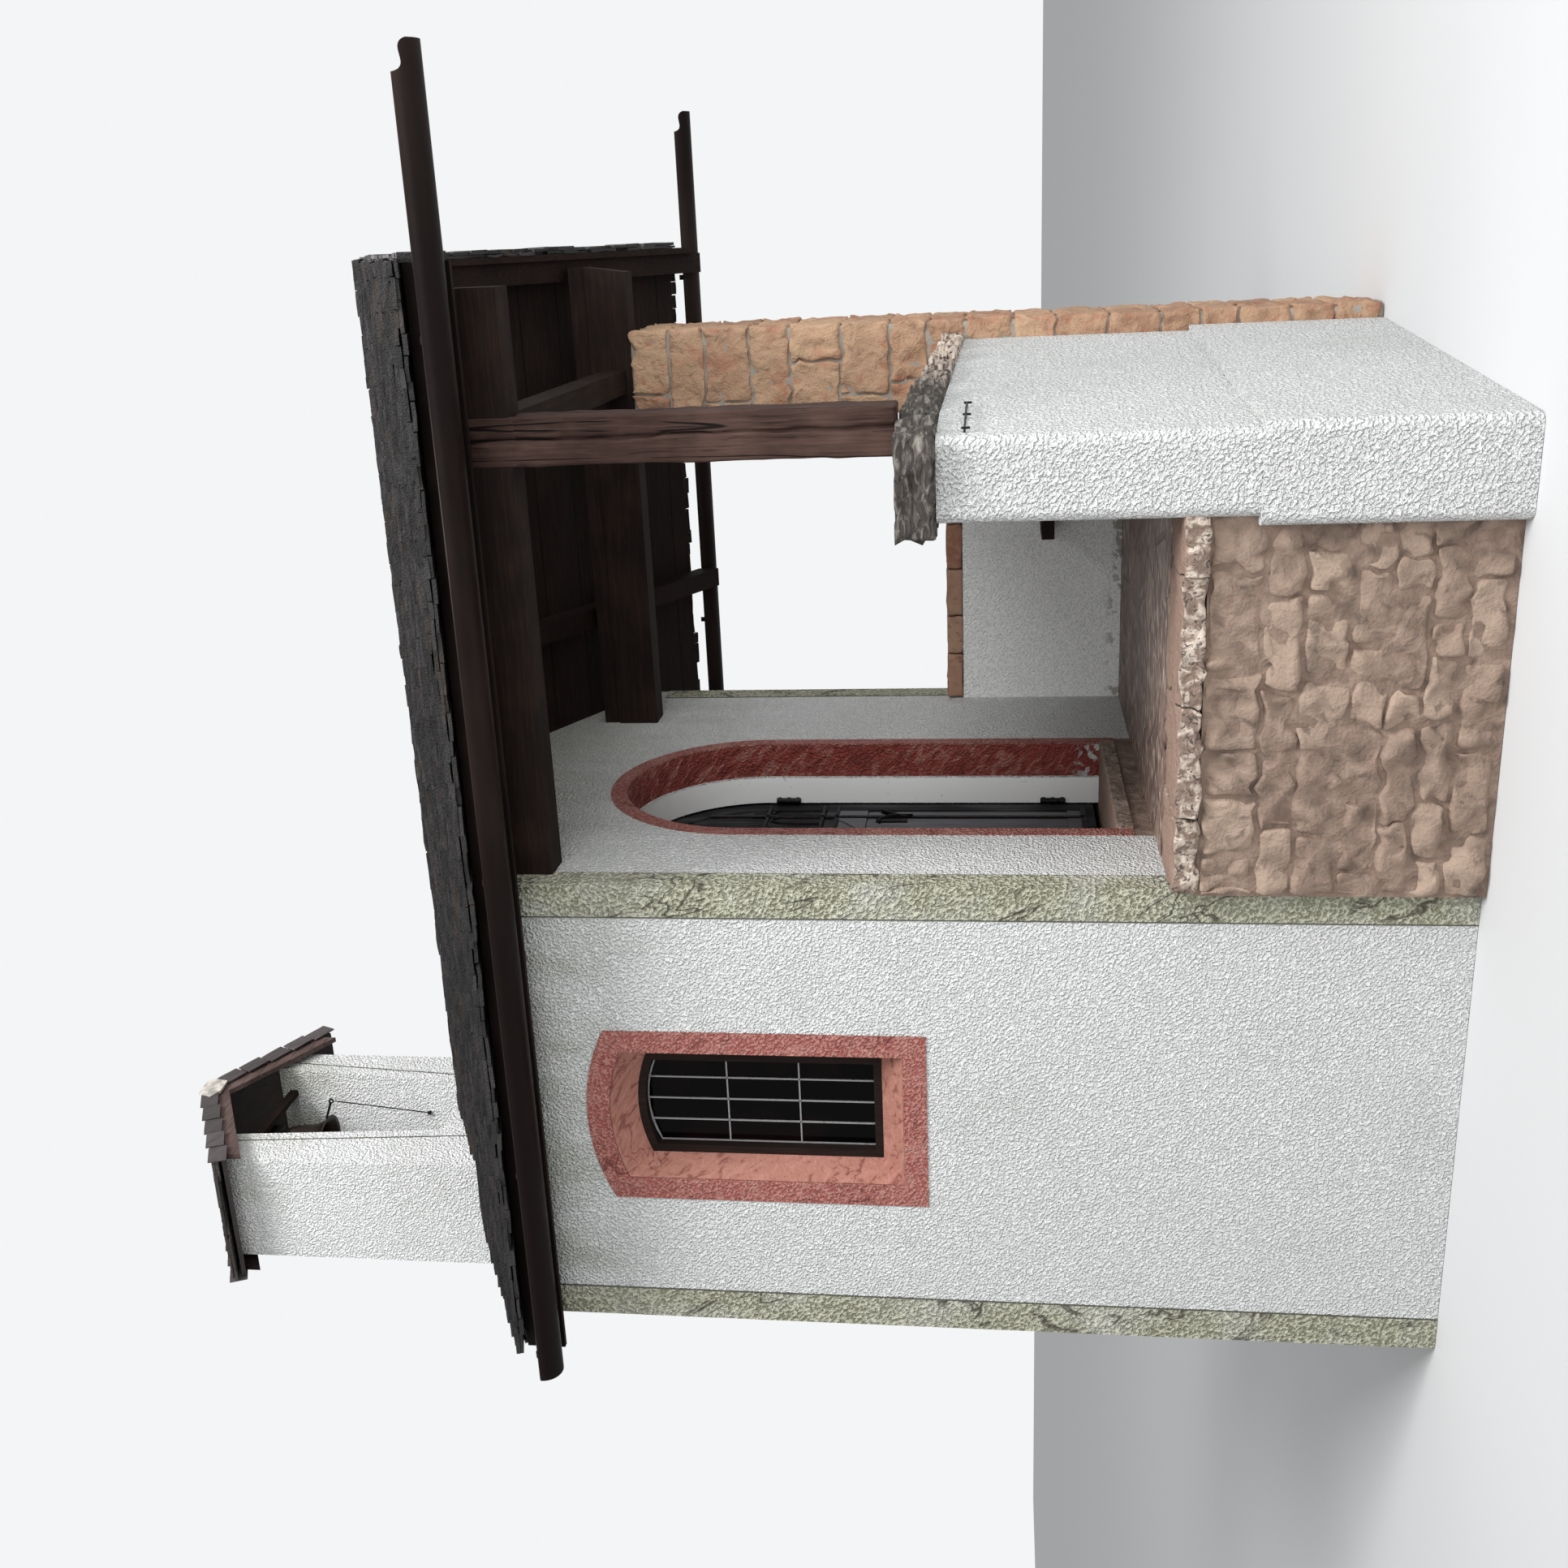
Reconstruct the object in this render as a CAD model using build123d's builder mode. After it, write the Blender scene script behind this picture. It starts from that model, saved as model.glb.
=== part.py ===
import os
from math import atan, cos, degrees, sin, sqrt, radians

from build123d import *

os.makedirs("parts", exist_ok=True)

# Small roadside chapel with a covered porch and an open bell turret.
# Millimetres. X runs from the near side wall to the far one, Y from the porch
# to the rear wall, Z up. The origin is on the ground under the doorway.
# Lengths along X are written from the near wall face and moved by sx.

# Nave
nave_width = 2824
nave_length = 2000
wall_side = 300
wall_front = 300
wall_rear_depth = 300
floor_top = 1265
floor_depth = 120
pilaster_width = 130
pilaster_proud = 4
band_gap = 2

# Roof, the slope is rise over run
ridge_offset = 112
ridge_z = 4517
roof_slope = 0.4819
shingle_depth = 60
board_depth = 28
rafter_depth = 100
rafter_width = 100
eave_near_over = 218
eave_far_over = 516
board_far_over = 396
verge_front_y = -2353
verge_rear_over = 100
rafter_porch_y = -600
verge_board = 30
verge_height = 175
fascia = 24
fascia_height = 165

# Gutters
gutter_radius = 76
gutter_sheet = 5
gutter_rear_over = 57
gutter_front_y = -2935
gutter_lip = 100
gutter_near_in = 23
gutter_near_drop = 124.6
gutter_far_out = 41
gutter_far_drop = 72.2
ogee_rise = 30
ogee_dip = 26
ogee_end = 52

# Doorway, a round arch in three steps
door_offset = 177
door_spring_z = 2860
portal_outer = 665
portal_band = 75
portal_depth = 165
portal_proud = 3
reveal_step = 15
threshold_depth = 68
threshold_nose = 12
step_back = 60

# Door leaf behind the inner wall face
leaf_gap = 12
leaf_thickness = 45
panel_sink = 12
leaf_lap = 15
leaf_bottom_z = 1290
hinge_edge_gap = 16
knuckle_radius = 14
knuckle_length = 70
pin_radius = 9
pin_gap = 0.3
hinge_low_z = 1520
hinge_high_z = 2760
pin_length = 70
pin_plate = 70
pin_plate_sheet = 8
pin_plate_over = 10
pin_lug = 6
pin_lug_height = 30
leaf_stile = 90
leaf_kick = 130
rail_low_z = 2383
rail_high_z = 2583
cover_strip = 70
cover_rise = 9
pull_x = 340
pull_z = 2260
pull_length = 150
pull_radius = 12
pull_sheet = 4
pull_plate_half = 15
pull_plate_length = 220
strap_thickness = 6
strap_height = 45
strap_length = 900

# Windows
window_offset = 25
surround_half = 390
surround_bottom_z = 2035
surround_side_z = 3345
surround_rise = 95
splay_front_half = 294
splay_front_bottom_z = 2128
splay_front_side_z = 3285
splay_front_rise = 60
frame_half = 234
frame_bottom_z = 2222
frame_side_z = 3200
frame_rise = 48
surround_depth = 110
surround_proud = 4
frame_depth = 48
frame_bar = 34
glass_sheet = 6
glass_lap = 30

# Porch
platform_z = 1117
edge_slab_depth = 89
edge_slab_x = -100
edge_slab_width = 420
base_x = -55
paving_depth = 60
parapet_thick = 172
parapet_z = 1931
parapet_cap_depth = 85
parapet_cap_over = 18
front_wall_x = -120
front_wall_y = -1706
front_wall_thick = 300
front_wall_skew = 0.0776
front_wall_z = 1960
front_wall_fall = 56
front_level_x = 350
front_foot_z = 870
front_foot_step = 25
pier_round = 40
front_cap_depth = 145
front_cap_far_depth = 95
front_cap_over = 70
front_cap_end = 45
front_cap_lip = 25
front_cap_far_lip = 40
iron_z = 1862
iron_radius = 4
iron_stem = 16
iron_eye = 30
pillar_width = 624
pillar_depth = 435
pillar_round = 35
pillar_rear_y = -1550
pillar_z = 3520
post_x = 104
post_width = 180
post_front_y = -1800
post_chamfer = 7
post_top_lap = 10
bench_z = 1470
bench_depth = 62
bench_width = 320
bench_front_y = -1480
bench_rear_y = -900

# Timber
purlin_bottom_z = 3520
purlin_far_depth = 200
purlin_width = 150
purlin_far_inset = 15
purlin_splay = 30
upper_inset = 15
purlin_end_y = -2256
post_lap = 45
post_lap_height = 157
tie_thick = 110
tie_height = 120
tie_lift = 30
ridge_beam_width = 140
ridge_beam_height = 180

# Turret
turret_near_half = 560
turret_far_half = 500
turret_front_in = 228
turret_rear_out = 320
turret_wall = 100
turret_base_drop = 337
turret_foot = 400
turret_slope = 0.57
turret_rise = 1393
turret_eave_half = 698
turret_verge_front = 62
turret_verge_rear = 72
turret_cover = 70
turret_barge = 26
turret_barge_height = 80
barge_inset = 8
barge_end = 100
plate_sheet = 14
niche_half = 238
niche_taper = 0.09
niche_lift = 3

# Bell
bell_in = 238
bell_lip_radius = 140
bell_lip_drop = 675
bell_height = 240
bell_sheet = 12
crown_height = 30
swing_drop = 350
yoke_half = 80
yoke_pin = 12
yoke_width = 60
yoke_depth = 55
lever_radius = 6
lever_reach = 104
lever_fall = 40
eye_radius = 14
eye_hole = 8
eye_sheet = 7
bearing_half = 22
bearing_bar = 30
wire_radius = 3
wire_gap = 8
staple_lift = 254
staple_forward = 38
staple_half = 8

# Fits
seat_gap = 0.3
overcut = 1

half_width = nave_width / 2
ridge_x = half_width - ridge_offset
door_x = half_width - door_offset
portal_inner = portal_outer - portal_band
reveal_radius = portal_inner - reveal_step
leaf_radius = reveal_radius + leaf_lap
window_y = nave_length / 2 + window_offset
parapet_x = nave_width - parapet_thick
pillar_x = nave_width - pillar_width
pillar_front_y = pillar_rear_y - pillar_depth
purlin_far_x = pillar_x + purlin_far_inset
tie_front_y = post_front_y
tie_rear_y = tie_front_y + tie_thick
eave_near_x = -eave_near_over
eave_far_x = nave_width + eave_far_over
board_far_x = nave_width + board_far_over
verge_rear_y = nave_length + verge_rear_over
gutter_rear_y = verge_rear_y + gutter_rear_over
gutter_tip_y = gutter_front_y - gutter_lip
gutter_near_x = eave_near_x + gutter_near_in
gutter_far_x = eave_far_x + gutter_far_out
turret_near_x = ridge_x - turret_near_half
turret_far_x = ridge_x + turret_far_half
turret_front_y = nave_length - turret_front_in
turret_rear_y = nave_length + turret_rear_out
turret_base_z = ridge_z - turret_base_drop
turret_foot_z = turret_base_z - turret_foot
turret_apex_z = ridge_z + turret_rise
turret_verge_front_y = turret_front_y - turret_verge_front
turret_verge_rear_y = turret_rear_y + turret_verge_rear
niche_bottom_z = ridge_z + niche_lift
bell_y = turret_front_y + bell_in
bell_lip_z = turret_apex_z - bell_lip_drop
swing_z = turret_apex_z - swing_drop
lever_length = sqrt(lever_reach * lever_reach + lever_fall * lever_fall)
eye_y = bell_y - bell_lip_radius - lever_reach
eye_z = bell_lip_z - lever_fall
fascia_near_x = gutter_near_x + gutter_radius + seat_gap
fascia_far_x = gutter_far_x - gutter_radius - seat_gap
roof_angle = degrees(atan(roof_slope))
roof_cos = cos(radians(roof_angle))
shingle_drop = shingle_depth / roof_cos
board_drop = shingle_drop + board_depth / roof_cos
rafter_drop = board_drop + rafter_depth / roof_cos
gable_drop = board_drop + seat_gap


def sx(x):
    """X in the part frame of a length measured from the near wall face."""
    return x - half_width


def roof_z(x, drop=0.0):
    """Height of the roof plane at x, lowered by a vertical drop."""
    return ridge_z - roof_slope * abs(x - ridge_x) - drop


purlin_near_top_z = roof_z(post_x, rafter_drop) - seat_gap
purlin_far_top_z = purlin_bottom_z + purlin_far_depth
post_top_z = purlin_bottom_z + post_lap_height


def niche_at(z):
    """Half width of the bell niche at a height."""
    return niche_half + niche_taper * (z - niche_bottom_z)


def block(x1, x2, y1, y2, z1, z2, mode=Mode.ADD):
    """Box between two opposite corners, x measured from the near wall face."""
    with Locations((sx((x1 + x2) / 2), (y1 + y2) / 2, (z1 + z2) / 2)):
        Box(abs(x2 - x1), abs(y2 - y1), abs(z2 - z1), mode=mode)


def at_y(y):
    """Upright work plane across the chapel, its normal pointing to the front."""
    return Plane.XZ.offset(-y)


def at_x(x):
    """Upright work plane along the chapel at a length from the near face."""
    return Plane.YZ.offset(sx(x))


def turret_hole():
    """Cuts the plan of the turret out of a roof piece."""
    block(
        turret_near_x,
        turret_far_x,
        turret_front_y,
        turret_rear_y,
        turret_foot_z,
        turret_apex_z,
        mode=Mode.SUBTRACT,
    )


gutter_near_z = roof_z(gutter_near_x, gutter_near_drop)
gutter_far_z = roof_z(gutter_far_x, gutter_far_drop)

# Side wall on the near side, window hole wide in front and narrow behind
with BuildPart() as wall_side_near:
    with BuildSketch(at_y(nave_length)):
        with BuildLine():
            Polyline(
                (sx(0), 0),
                (sx(wall_side), 0),
                (sx(wall_side), roof_z(wall_side, rafter_drop)),
                (sx(0), roof_z(0, rafter_drop)),
                close=True,
            )
        make_face()
    extrude(amount=nave_length - wall_front)
    with BuildSketch(at_x(0)):
        with BuildLine():
            Polyline(
                (window_y - surround_half, surround_side_z),
                (window_y - surround_half, surround_bottom_z),
                (window_y + surround_half, surround_bottom_z),
                (window_y + surround_half, surround_side_z),
            )
            ThreePointArc(
                (window_y + surround_half, surround_side_z),
                (window_y, surround_side_z + surround_rise),
                (window_y - surround_half, surround_side_z),
            )
        make_face()
    extrude(amount=surround_depth, mode=Mode.SUBTRACT)
    with BuildSketch(at_x(surround_depth)):
        with BuildLine():
            Polyline(
                (window_y - frame_half, frame_side_z),
                (window_y - frame_half, frame_bottom_z),
                (window_y + frame_half, frame_bottom_z),
                (window_y + frame_half, frame_side_z),
            )
            ThreePointArc(
                (window_y + frame_half, frame_side_z),
                (window_y, frame_side_z + frame_rise),
                (window_y - frame_half, frame_side_z),
            )
        make_face()
    extrude(amount=wall_side - surround_depth, mode=Mode.SUBTRACT)
wall_side_near.part.label = "wall_side_near"
export_step(wall_side_near.part, "parts/wall_side_near.step")

# Side wall on the far side, the same window turned about
with BuildPart() as wall_side_far:
    with BuildSketch(at_y(nave_length)):
        with BuildLine():
            Polyline(
                (sx(nave_width - wall_side), 0),
                (sx(nave_width), 0),
                (sx(nave_width), roof_z(nave_width, rafter_drop)),
                (sx(nave_width - wall_side), roof_z(nave_width - wall_side, rafter_drop)),
                close=True,
            )
        make_face()
    extrude(amount=nave_length - wall_front)
    with BuildSketch(at_x(nave_width)):
        with BuildLine():
            Polyline(
                (window_y - surround_half, surround_side_z),
                (window_y - surround_half, surround_bottom_z),
                (window_y + surround_half, surround_bottom_z),
                (window_y + surround_half, surround_side_z),
            )
            ThreePointArc(
                (window_y + surround_half, surround_side_z),
                (window_y, surround_side_z + surround_rise),
                (window_y - surround_half, surround_side_z),
            )
        make_face()
    extrude(amount=-surround_depth, mode=Mode.SUBTRACT)
    with BuildSketch(at_x(nave_width - surround_depth)):
        with BuildLine():
            Polyline(
                (window_y - frame_half, frame_side_z),
                (window_y - frame_half, frame_bottom_z),
                (window_y + frame_half, frame_bottom_z),
                (window_y + frame_half, frame_side_z),
            )
            ThreePointArc(
                (window_y + frame_half, frame_side_z),
                (window_y, frame_side_z + frame_rise),
                (window_y - frame_half, frame_side_z),
            )
        make_face()
    extrude(amount=-(wall_side - surround_depth), mode=Mode.SUBTRACT)
wall_side_far.part.label = "wall_side_far"
export_step(wall_side_far.part, "parts/wall_side_far.step")

# Rear gable wall, level under the turret
with BuildPart() as wall_rear:
    with BuildSketch(at_y(nave_length)):
        with BuildLine():
            Polyline(
                (sx(wall_side), 0),
                (sx(nave_width - wall_side), 0),
                (sx(nave_width - wall_side), roof_z(nave_width - wall_side, rafter_drop)),
                (sx(ridge_x), roof_z(ridge_x, rafter_drop)),
                (sx(wall_side), roof_z(wall_side, rafter_drop)),
                close=True,
            )
        make_face()
    extrude(amount=wall_rear_depth)
    block(
        turret_near_x,
        turret_far_x,
        turret_front_y,
        nave_length + overcut,
        turret_foot_z,
        ridge_z,
        mode=Mode.SUBTRACT,
    )
wall_rear.part.label = "wall_rear"
export_step(wall_rear.part, "parts/wall_rear.step")

# Bell wall behind the rear gable, it carries the turret
with BuildPart() as bell_wall:
    block(turret_near_x, turret_far_x, nave_length, turret_rear_y, 0, turret_base_z)
    block(
        turret_near_x,
        turret_far_x,
        turret_front_y,
        nave_length,
        turret_foot_z,
        turret_base_z,
    )
bell_wall.part.label = "bell_wall"
export_step(bell_wall.part, "parts/bell_wall.step")

# Front wall beside the doorway, near part
with BuildPart() as wall_front_near:
    with BuildSketch(at_y(wall_front)):
        with BuildLine():
            Polyline(
                (sx(0), 0),
                (sx(door_x - portal_outer), 0),
                (sx(door_x - portal_outer), roof_z(door_x - portal_outer, gable_drop)),
                (sx(0), roof_z(0, gable_drop)),
                close=True,
            )
        make_face()
    extrude(amount=wall_front)
    block(
        door_x - portal_outer,
        door_x - reveal_radius,
        portal_depth,
        wall_front,
        0,
        door_spring_z,
    )
wall_front_near.part.label = "wall_front_near"
export_step(wall_front_near.part, "parts/wall_front_near.step")

# Front wall beside the doorway, far part
with BuildPart() as wall_front_far:
    with BuildSketch(at_y(wall_front)):
        with BuildLine():
            Polyline(
                (sx(door_x + portal_outer), 0),
                (sx(nave_width), 0),
                (sx(nave_width), roof_z(nave_width, gable_drop)),
                (sx(door_x + portal_outer), roof_z(door_x + portal_outer, gable_drop)),
                close=True,
            )
        make_face()
    extrude(amount=wall_front)
    block(
        door_x + reveal_radius,
        door_x + portal_outer,
        portal_depth,
        wall_front,
        0,
        door_spring_z,
    )
wall_front_far.part.label = "wall_front_far"
export_step(wall_front_far.part, "parts/wall_front_far.step")

# Gable over the doorway with the stepped round arch cut out
with BuildPart() as wall_front_over:
    with BuildSketch(at_y(wall_front)):
        with BuildLine():
            Polyline(
                (sx(door_x - portal_outer), door_spring_z),
                (sx(door_x + portal_outer), door_spring_z),
                (sx(door_x + portal_outer), roof_z(door_x + portal_outer, gable_drop)),
                (sx(ridge_x), roof_z(ridge_x, gable_drop)),
                (sx(door_x - portal_outer), roof_z(door_x - portal_outer, gable_drop)),
                close=True,
            )
        make_face()
    extrude(amount=wall_front)
    with BuildSketch(at_y(0)):
        with Locations((sx(door_x), door_spring_z)):
            Circle(portal_outer)
    extrude(amount=-portal_depth, mode=Mode.SUBTRACT)
    with BuildSketch(at_y(portal_depth)):
        with Locations((sx(door_x), door_spring_z)):
            Circle(reveal_radius)
    extrude(amount=-(wall_front - portal_depth), mode=Mode.SUBTRACT)
wall_front_over.part.label = "wall_front_over"
export_step(wall_front_over.part, "parts/wall_front_over.step")

# Foundation under the doorway
with BuildPart() as door_foundation:
    block(
        door_x - portal_outer,
        door_x + portal_outer,
        0,
        portal_depth,
        0,
        floor_top - threshold_depth,
    )
    block(
        door_x - reveal_radius,
        door_x + reveal_radius,
        portal_depth,
        wall_front,
        0,
        floor_top - threshold_depth,
    )
    block(door_x - portal_outer, door_x + portal_outer, -step_back, 0, 0, platform_z - paving_depth)
door_foundation.part.label = "door_foundation"
export_step(door_foundation.part, "parts/door_foundation.step")

# Stone floor of the nave
with BuildPart() as nave_floor:
    block(
        wall_side,
        nave_width - wall_side,
        wall_front,
        nave_length - wall_rear_depth,
        floor_top - floor_depth,
        floor_top,
    )
nave_floor.part.label = "nave_floor"
export_step(nave_floor.part, "parts/nave_floor.step")

# Painted corner bands on the near side
near_band_z = roof_z(0, rafter_drop) - band_gap
with BuildPart() as pilasters_near:
    block(
        -pilaster_proud,
        pilaster_width,
        -pilaster_proud,
        0,
        platform_z,
        near_band_z,
    )
    block(
        -pilaster_proud,
        0,
        0,
        pilaster_width,
        0,
        near_band_z,
    )
    block(
        post_x,
        post_x + purlin_width,
        -pilaster_proud,
        0,
        purlin_bottom_z,
        purlin_near_top_z,
        mode=Mode.SUBTRACT,
    )
    block(
        -pilaster_proud,
        0,
        nave_length - pilaster_width,
        nave_length + pilaster_proud,
        0,
        near_band_z,
    )
    block(
        -pilaster_proud,
        pilaster_width,
        nave_length,
        nave_length + pilaster_proud,
        0,
        near_band_z,
    )
pilasters_near.part.label = "pilasters_near"
export_step(pilasters_near.part, "parts/pilasters_near.step")

# Painted corner bands on the far side
far_band_z = roof_z(nave_width, rafter_drop) - band_gap
with BuildPart() as pilasters_far:
    block(
        nave_width - pilaster_width,
        nave_width + pilaster_proud,
        -pilaster_proud,
        0,
        parapet_z + parapet_cap_depth,
        far_band_z,
    )
    block(nave_width, nave_width + pilaster_proud, -pilaster_proud, pilaster_width, 0, far_band_z)
    block(
        nave_width,
        nave_width + pilaster_proud,
        nave_length - pilaster_width,
        nave_length + pilaster_proud,
        0,
        far_band_z,
    )
    block(
        nave_width - pilaster_width,
        nave_width + pilaster_proud,
        nave_length,
        nave_length + pilaster_proud,
        0,
        far_band_z,
    )
pilasters_far.part.label = "pilasters_far"
export_step(pilasters_far.part, "parts/pilasters_far.step")

# Portal jambs, red face band and deep red reveal
with BuildPart() as portal_jambs:
    block(
        door_x - portal_outer,
        door_x - portal_inner,
        -portal_proud,
        portal_depth,
        floor_top - threshold_depth,
        door_spring_z,
    )
    block(
        door_x + portal_inner,
        door_x + portal_outer,
        -portal_proud,
        portal_depth,
        floor_top - threshold_depth,
        door_spring_z,
    )
portal_jambs.part.label = "portal_jambs"
export_step(portal_jambs.part, "parts/portal_jambs.step")

# Portal arch, half a ring
with BuildPart() as portal_arch:
    with BuildSketch(at_y(portal_depth)):
        with Locations((sx(door_x), door_spring_z)):
            Circle(portal_outer)
            Circle(portal_inner, mode=Mode.SUBTRACT)
        with Locations((sx(door_x), door_spring_z - portal_outer)):
            Rectangle(3 * portal_outer, 2 * portal_outer, mode=Mode.SUBTRACT)
    extrude(amount=portal_depth + portal_proud)
portal_arch.part.label = "portal_arch"
export_step(portal_arch.part, "parts/portal_arch.step")

# Threshold slab between the jambs
with BuildPart() as threshold:
    block(
        door_x - portal_inner,
        door_x + portal_inner,
        -threshold_nose,
        portal_depth,
        floor_top - threshold_depth,
        floor_top,
    )
    block(
        door_x - reveal_radius,
        door_x + reveal_radius,
        portal_depth,
        wall_front,
        floor_top - threshold_depth,
        floor_top,
    )
    chamfer(threshold.edges().filter_by(Axis.X).group_by(Axis.Z)[-1].sort_by(Axis.Y)[0], 8)
threshold.part.label = "threshold"
export_step(threshold.part, "parts/threshold.step")

# Door leaf, upright boards under a round head with raised rails
leaf_front_y = wall_front + leaf_gap
leaf_back_y = leaf_front_y + leaf_thickness
hinge_x = door_x + leaf_radius + hinge_edge_gap
hinge_y = leaf_front_y + leaf_thickness / 2
panel_half = leaf_radius - leaf_stile
with BuildPart() as door_leaf:
    with BuildSketch(at_y(leaf_back_y)):
        with BuildLine():
            Polyline(
                (sx(door_x - leaf_radius), door_spring_z),
                (sx(door_x - leaf_radius), leaf_bottom_z),
                (sx(door_x + leaf_radius), leaf_bottom_z),
                (sx(door_x + leaf_radius), door_spring_z),
            )
            ThreePointArc(
                (sx(door_x + leaf_radius), door_spring_z),
                (sx(door_x), door_spring_z + leaf_radius),
                (sx(door_x - leaf_radius), door_spring_z),
            )
        make_face()
    extrude(amount=leaf_thickness - panel_sink)
    with BuildSketch(at_y(leaf_front_y + panel_sink)):
        with BuildLine():
            Polyline(
                (sx(door_x - leaf_radius), door_spring_z),
                (sx(door_x - leaf_radius), leaf_bottom_z),
                (sx(door_x + leaf_radius), leaf_bottom_z),
                (sx(door_x + leaf_radius), door_spring_z),
            )
            ThreePointArc(
                (sx(door_x + leaf_radius), door_spring_z),
                (sx(door_x), door_spring_z + leaf_radius),
                (sx(door_x - leaf_radius), door_spring_z),
            )
        make_face()
        with Locations((sx(door_x), (leaf_bottom_z + leaf_kick + rail_low_z) / 2)):
            Rectangle(2 * panel_half, rail_low_z - leaf_bottom_z - leaf_kick, mode=Mode.SUBTRACT)
        with Locations((sx(door_x), door_spring_z)):
            Circle(panel_half, mode=Mode.SUBTRACT)
        with Locations((sx(door_x), (rail_high_z + door_spring_z) / 2)):
            Rectangle(2 * panel_half, door_spring_z - rail_high_z, mode=Mode.SUBTRACT)
        with Locations((sx(door_x), (leaf_bottom_z + door_spring_z) / 2)):
            Rectangle(cover_strip, door_spring_z - leaf_bottom_z)
    extrude(amount=cover_rise)
    with BuildSketch(at_y(leaf_front_y + panel_sink)):
        with BuildLine():
            Polyline(
                (sx(door_x - leaf_radius), door_spring_z),
                (sx(door_x - leaf_radius), leaf_bottom_z),
                (sx(door_x + leaf_radius), leaf_bottom_z),
                (sx(door_x + leaf_radius), door_spring_z),
            )
            ThreePointArc(
                (sx(door_x + leaf_radius), door_spring_z),
                (sx(door_x), door_spring_z + leaf_radius),
                (sx(door_x - leaf_radius), door_spring_z),
            )
        make_face()
        with Locations((sx(door_x), (leaf_bottom_z + leaf_kick + rail_low_z) / 2)):
            Rectangle(2 * panel_half, rail_low_z - leaf_bottom_z - leaf_kick, mode=Mode.SUBTRACT)
        with Locations((sx(door_x), door_spring_z)):
            Circle(panel_half, mode=Mode.SUBTRACT)
        with Locations((sx(door_x), (rail_high_z + door_spring_z) / 2)):
            Rectangle(2 * panel_half, door_spring_z - rail_high_z, mode=Mode.SUBTRACT)
    extrude(amount=panel_sink)
door_leaf.part.label = "door_leaf"
export_step(door_leaf.part, "parts/door_leaf.step")

# Door ironwork, knuckles, straps on the back and a forged pull on the front
with BuildPart() as door_ironwork:
    for z in (hinge_low_z, hinge_high_z):
        with Locations((sx(hinge_x), hinge_y, z)):
            Cylinder(knuckle_radius, knuckle_length)
        block(
            hinge_x - hinge_edge_gap,
            hinge_x,
            hinge_y,
            leaf_back_y + strap_thickness,
            z - strap_height / 2,
            z + strap_height / 2,
        )
        block(
            hinge_x - strap_length,
            hinge_x,
            leaf_back_y,
            leaf_back_y + strap_thickness,
            z - strap_height / 2,
            z + strap_height / 2,
        )
    block(
        door_x + pull_x - pull_plate_half,
        door_x + pull_x + pull_plate_half,
        leaf_front_y + panel_sink - pull_sheet,
        leaf_front_y + panel_sink,
        pull_z - pull_plate_length / 2,
        pull_z + pull_plate_length / 2,
    )
    with Locations((sx(door_x + pull_x), leaf_front_y - pull_sheet / 2, pull_z)):
        Cylinder(pull_radius, pull_length)
door_ironwork.part.label = "door_ironwork"
export_step(door_ironwork.part, "parts/door_ironwork.step")

# Hinge pins with plates on the inner wall face
with BuildPart() as door_pintles:
    for z in (hinge_low_z, hinge_high_z):
        pin_top = z - knuckle_length / 2 - pin_gap
        with Locations((sx(hinge_x), hinge_y, pin_top - pin_length / 2)):
            Cylinder(pin_radius, pin_length)
        block(
            hinge_x - pin_lug,
            hinge_x + pin_lug,
            wall_front,
            hinge_y,
            pin_top - pin_length,
            pin_top - pin_length + pin_lug_height,
        )
        block(
            hinge_x - pin_lug,
            hinge_x + pin_plate,
            wall_front,
            wall_front + pin_plate_sheet,
            pin_top - pin_length - pin_plate_over,
            pin_top - pin_length + pin_lug_height + 2 * pin_plate_over,
        )
door_pintles.part.label = "door_pintles"
export_step(door_pintles.part, "parts/door_pintles.step")

# Window surround on the near side with splayed reveal
with BuildPart() as surround_near:
    with BuildSketch(at_x(-surround_proud)):
        with BuildLine():
            Polyline(
                (window_y - surround_half, surround_side_z),
                (window_y - surround_half, surround_bottom_z),
                (window_y + surround_half, surround_bottom_z),
                (window_y + surround_half, surround_side_z),
            )
            ThreePointArc(
                (window_y + surround_half, surround_side_z),
                (window_y, surround_side_z + surround_rise),
                (window_y - surround_half, surround_side_z),
            )
        make_face()
    extrude(amount=surround_depth + surround_proud)
    with BuildSketch(at_x(-surround_proud)):
        with BuildLine():
            Polyline(
                (window_y - splay_front_half, splay_front_side_z),
                (window_y - splay_front_half, splay_front_bottom_z),
                (window_y + splay_front_half, splay_front_bottom_z),
                (window_y + splay_front_half, splay_front_side_z),
            )
            ThreePointArc(
                (window_y + splay_front_half, splay_front_side_z),
                (window_y, splay_front_side_z + splay_front_rise),
                (window_y - splay_front_half, splay_front_side_z),
            )
        make_face()
    with BuildSketch(at_x(surround_depth)):
        with BuildLine():
            Polyline(
                (window_y - frame_half, frame_side_z),
                (window_y - frame_half, frame_bottom_z),
                (window_y + frame_half, frame_bottom_z),
                (window_y + frame_half, frame_side_z),
            )
            ThreePointArc(
                (window_y + frame_half, frame_side_z),
                (window_y, frame_side_z + frame_rise),
                (window_y - frame_half, frame_side_z),
            )
        make_face()
    loft(mode=Mode.SUBTRACT)
surround_near.part.label = "surround_near"
export_step(surround_near.part, "parts/surround_near.step")

# Window surround on the far side, the near one mirrored
with BuildPart() as surround_far:
    mirror(surround_near.part, about=Plane.YZ)
surround_far.part.label = "surround_far"
export_step(surround_far.part, "parts/surround_far.step")

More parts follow.
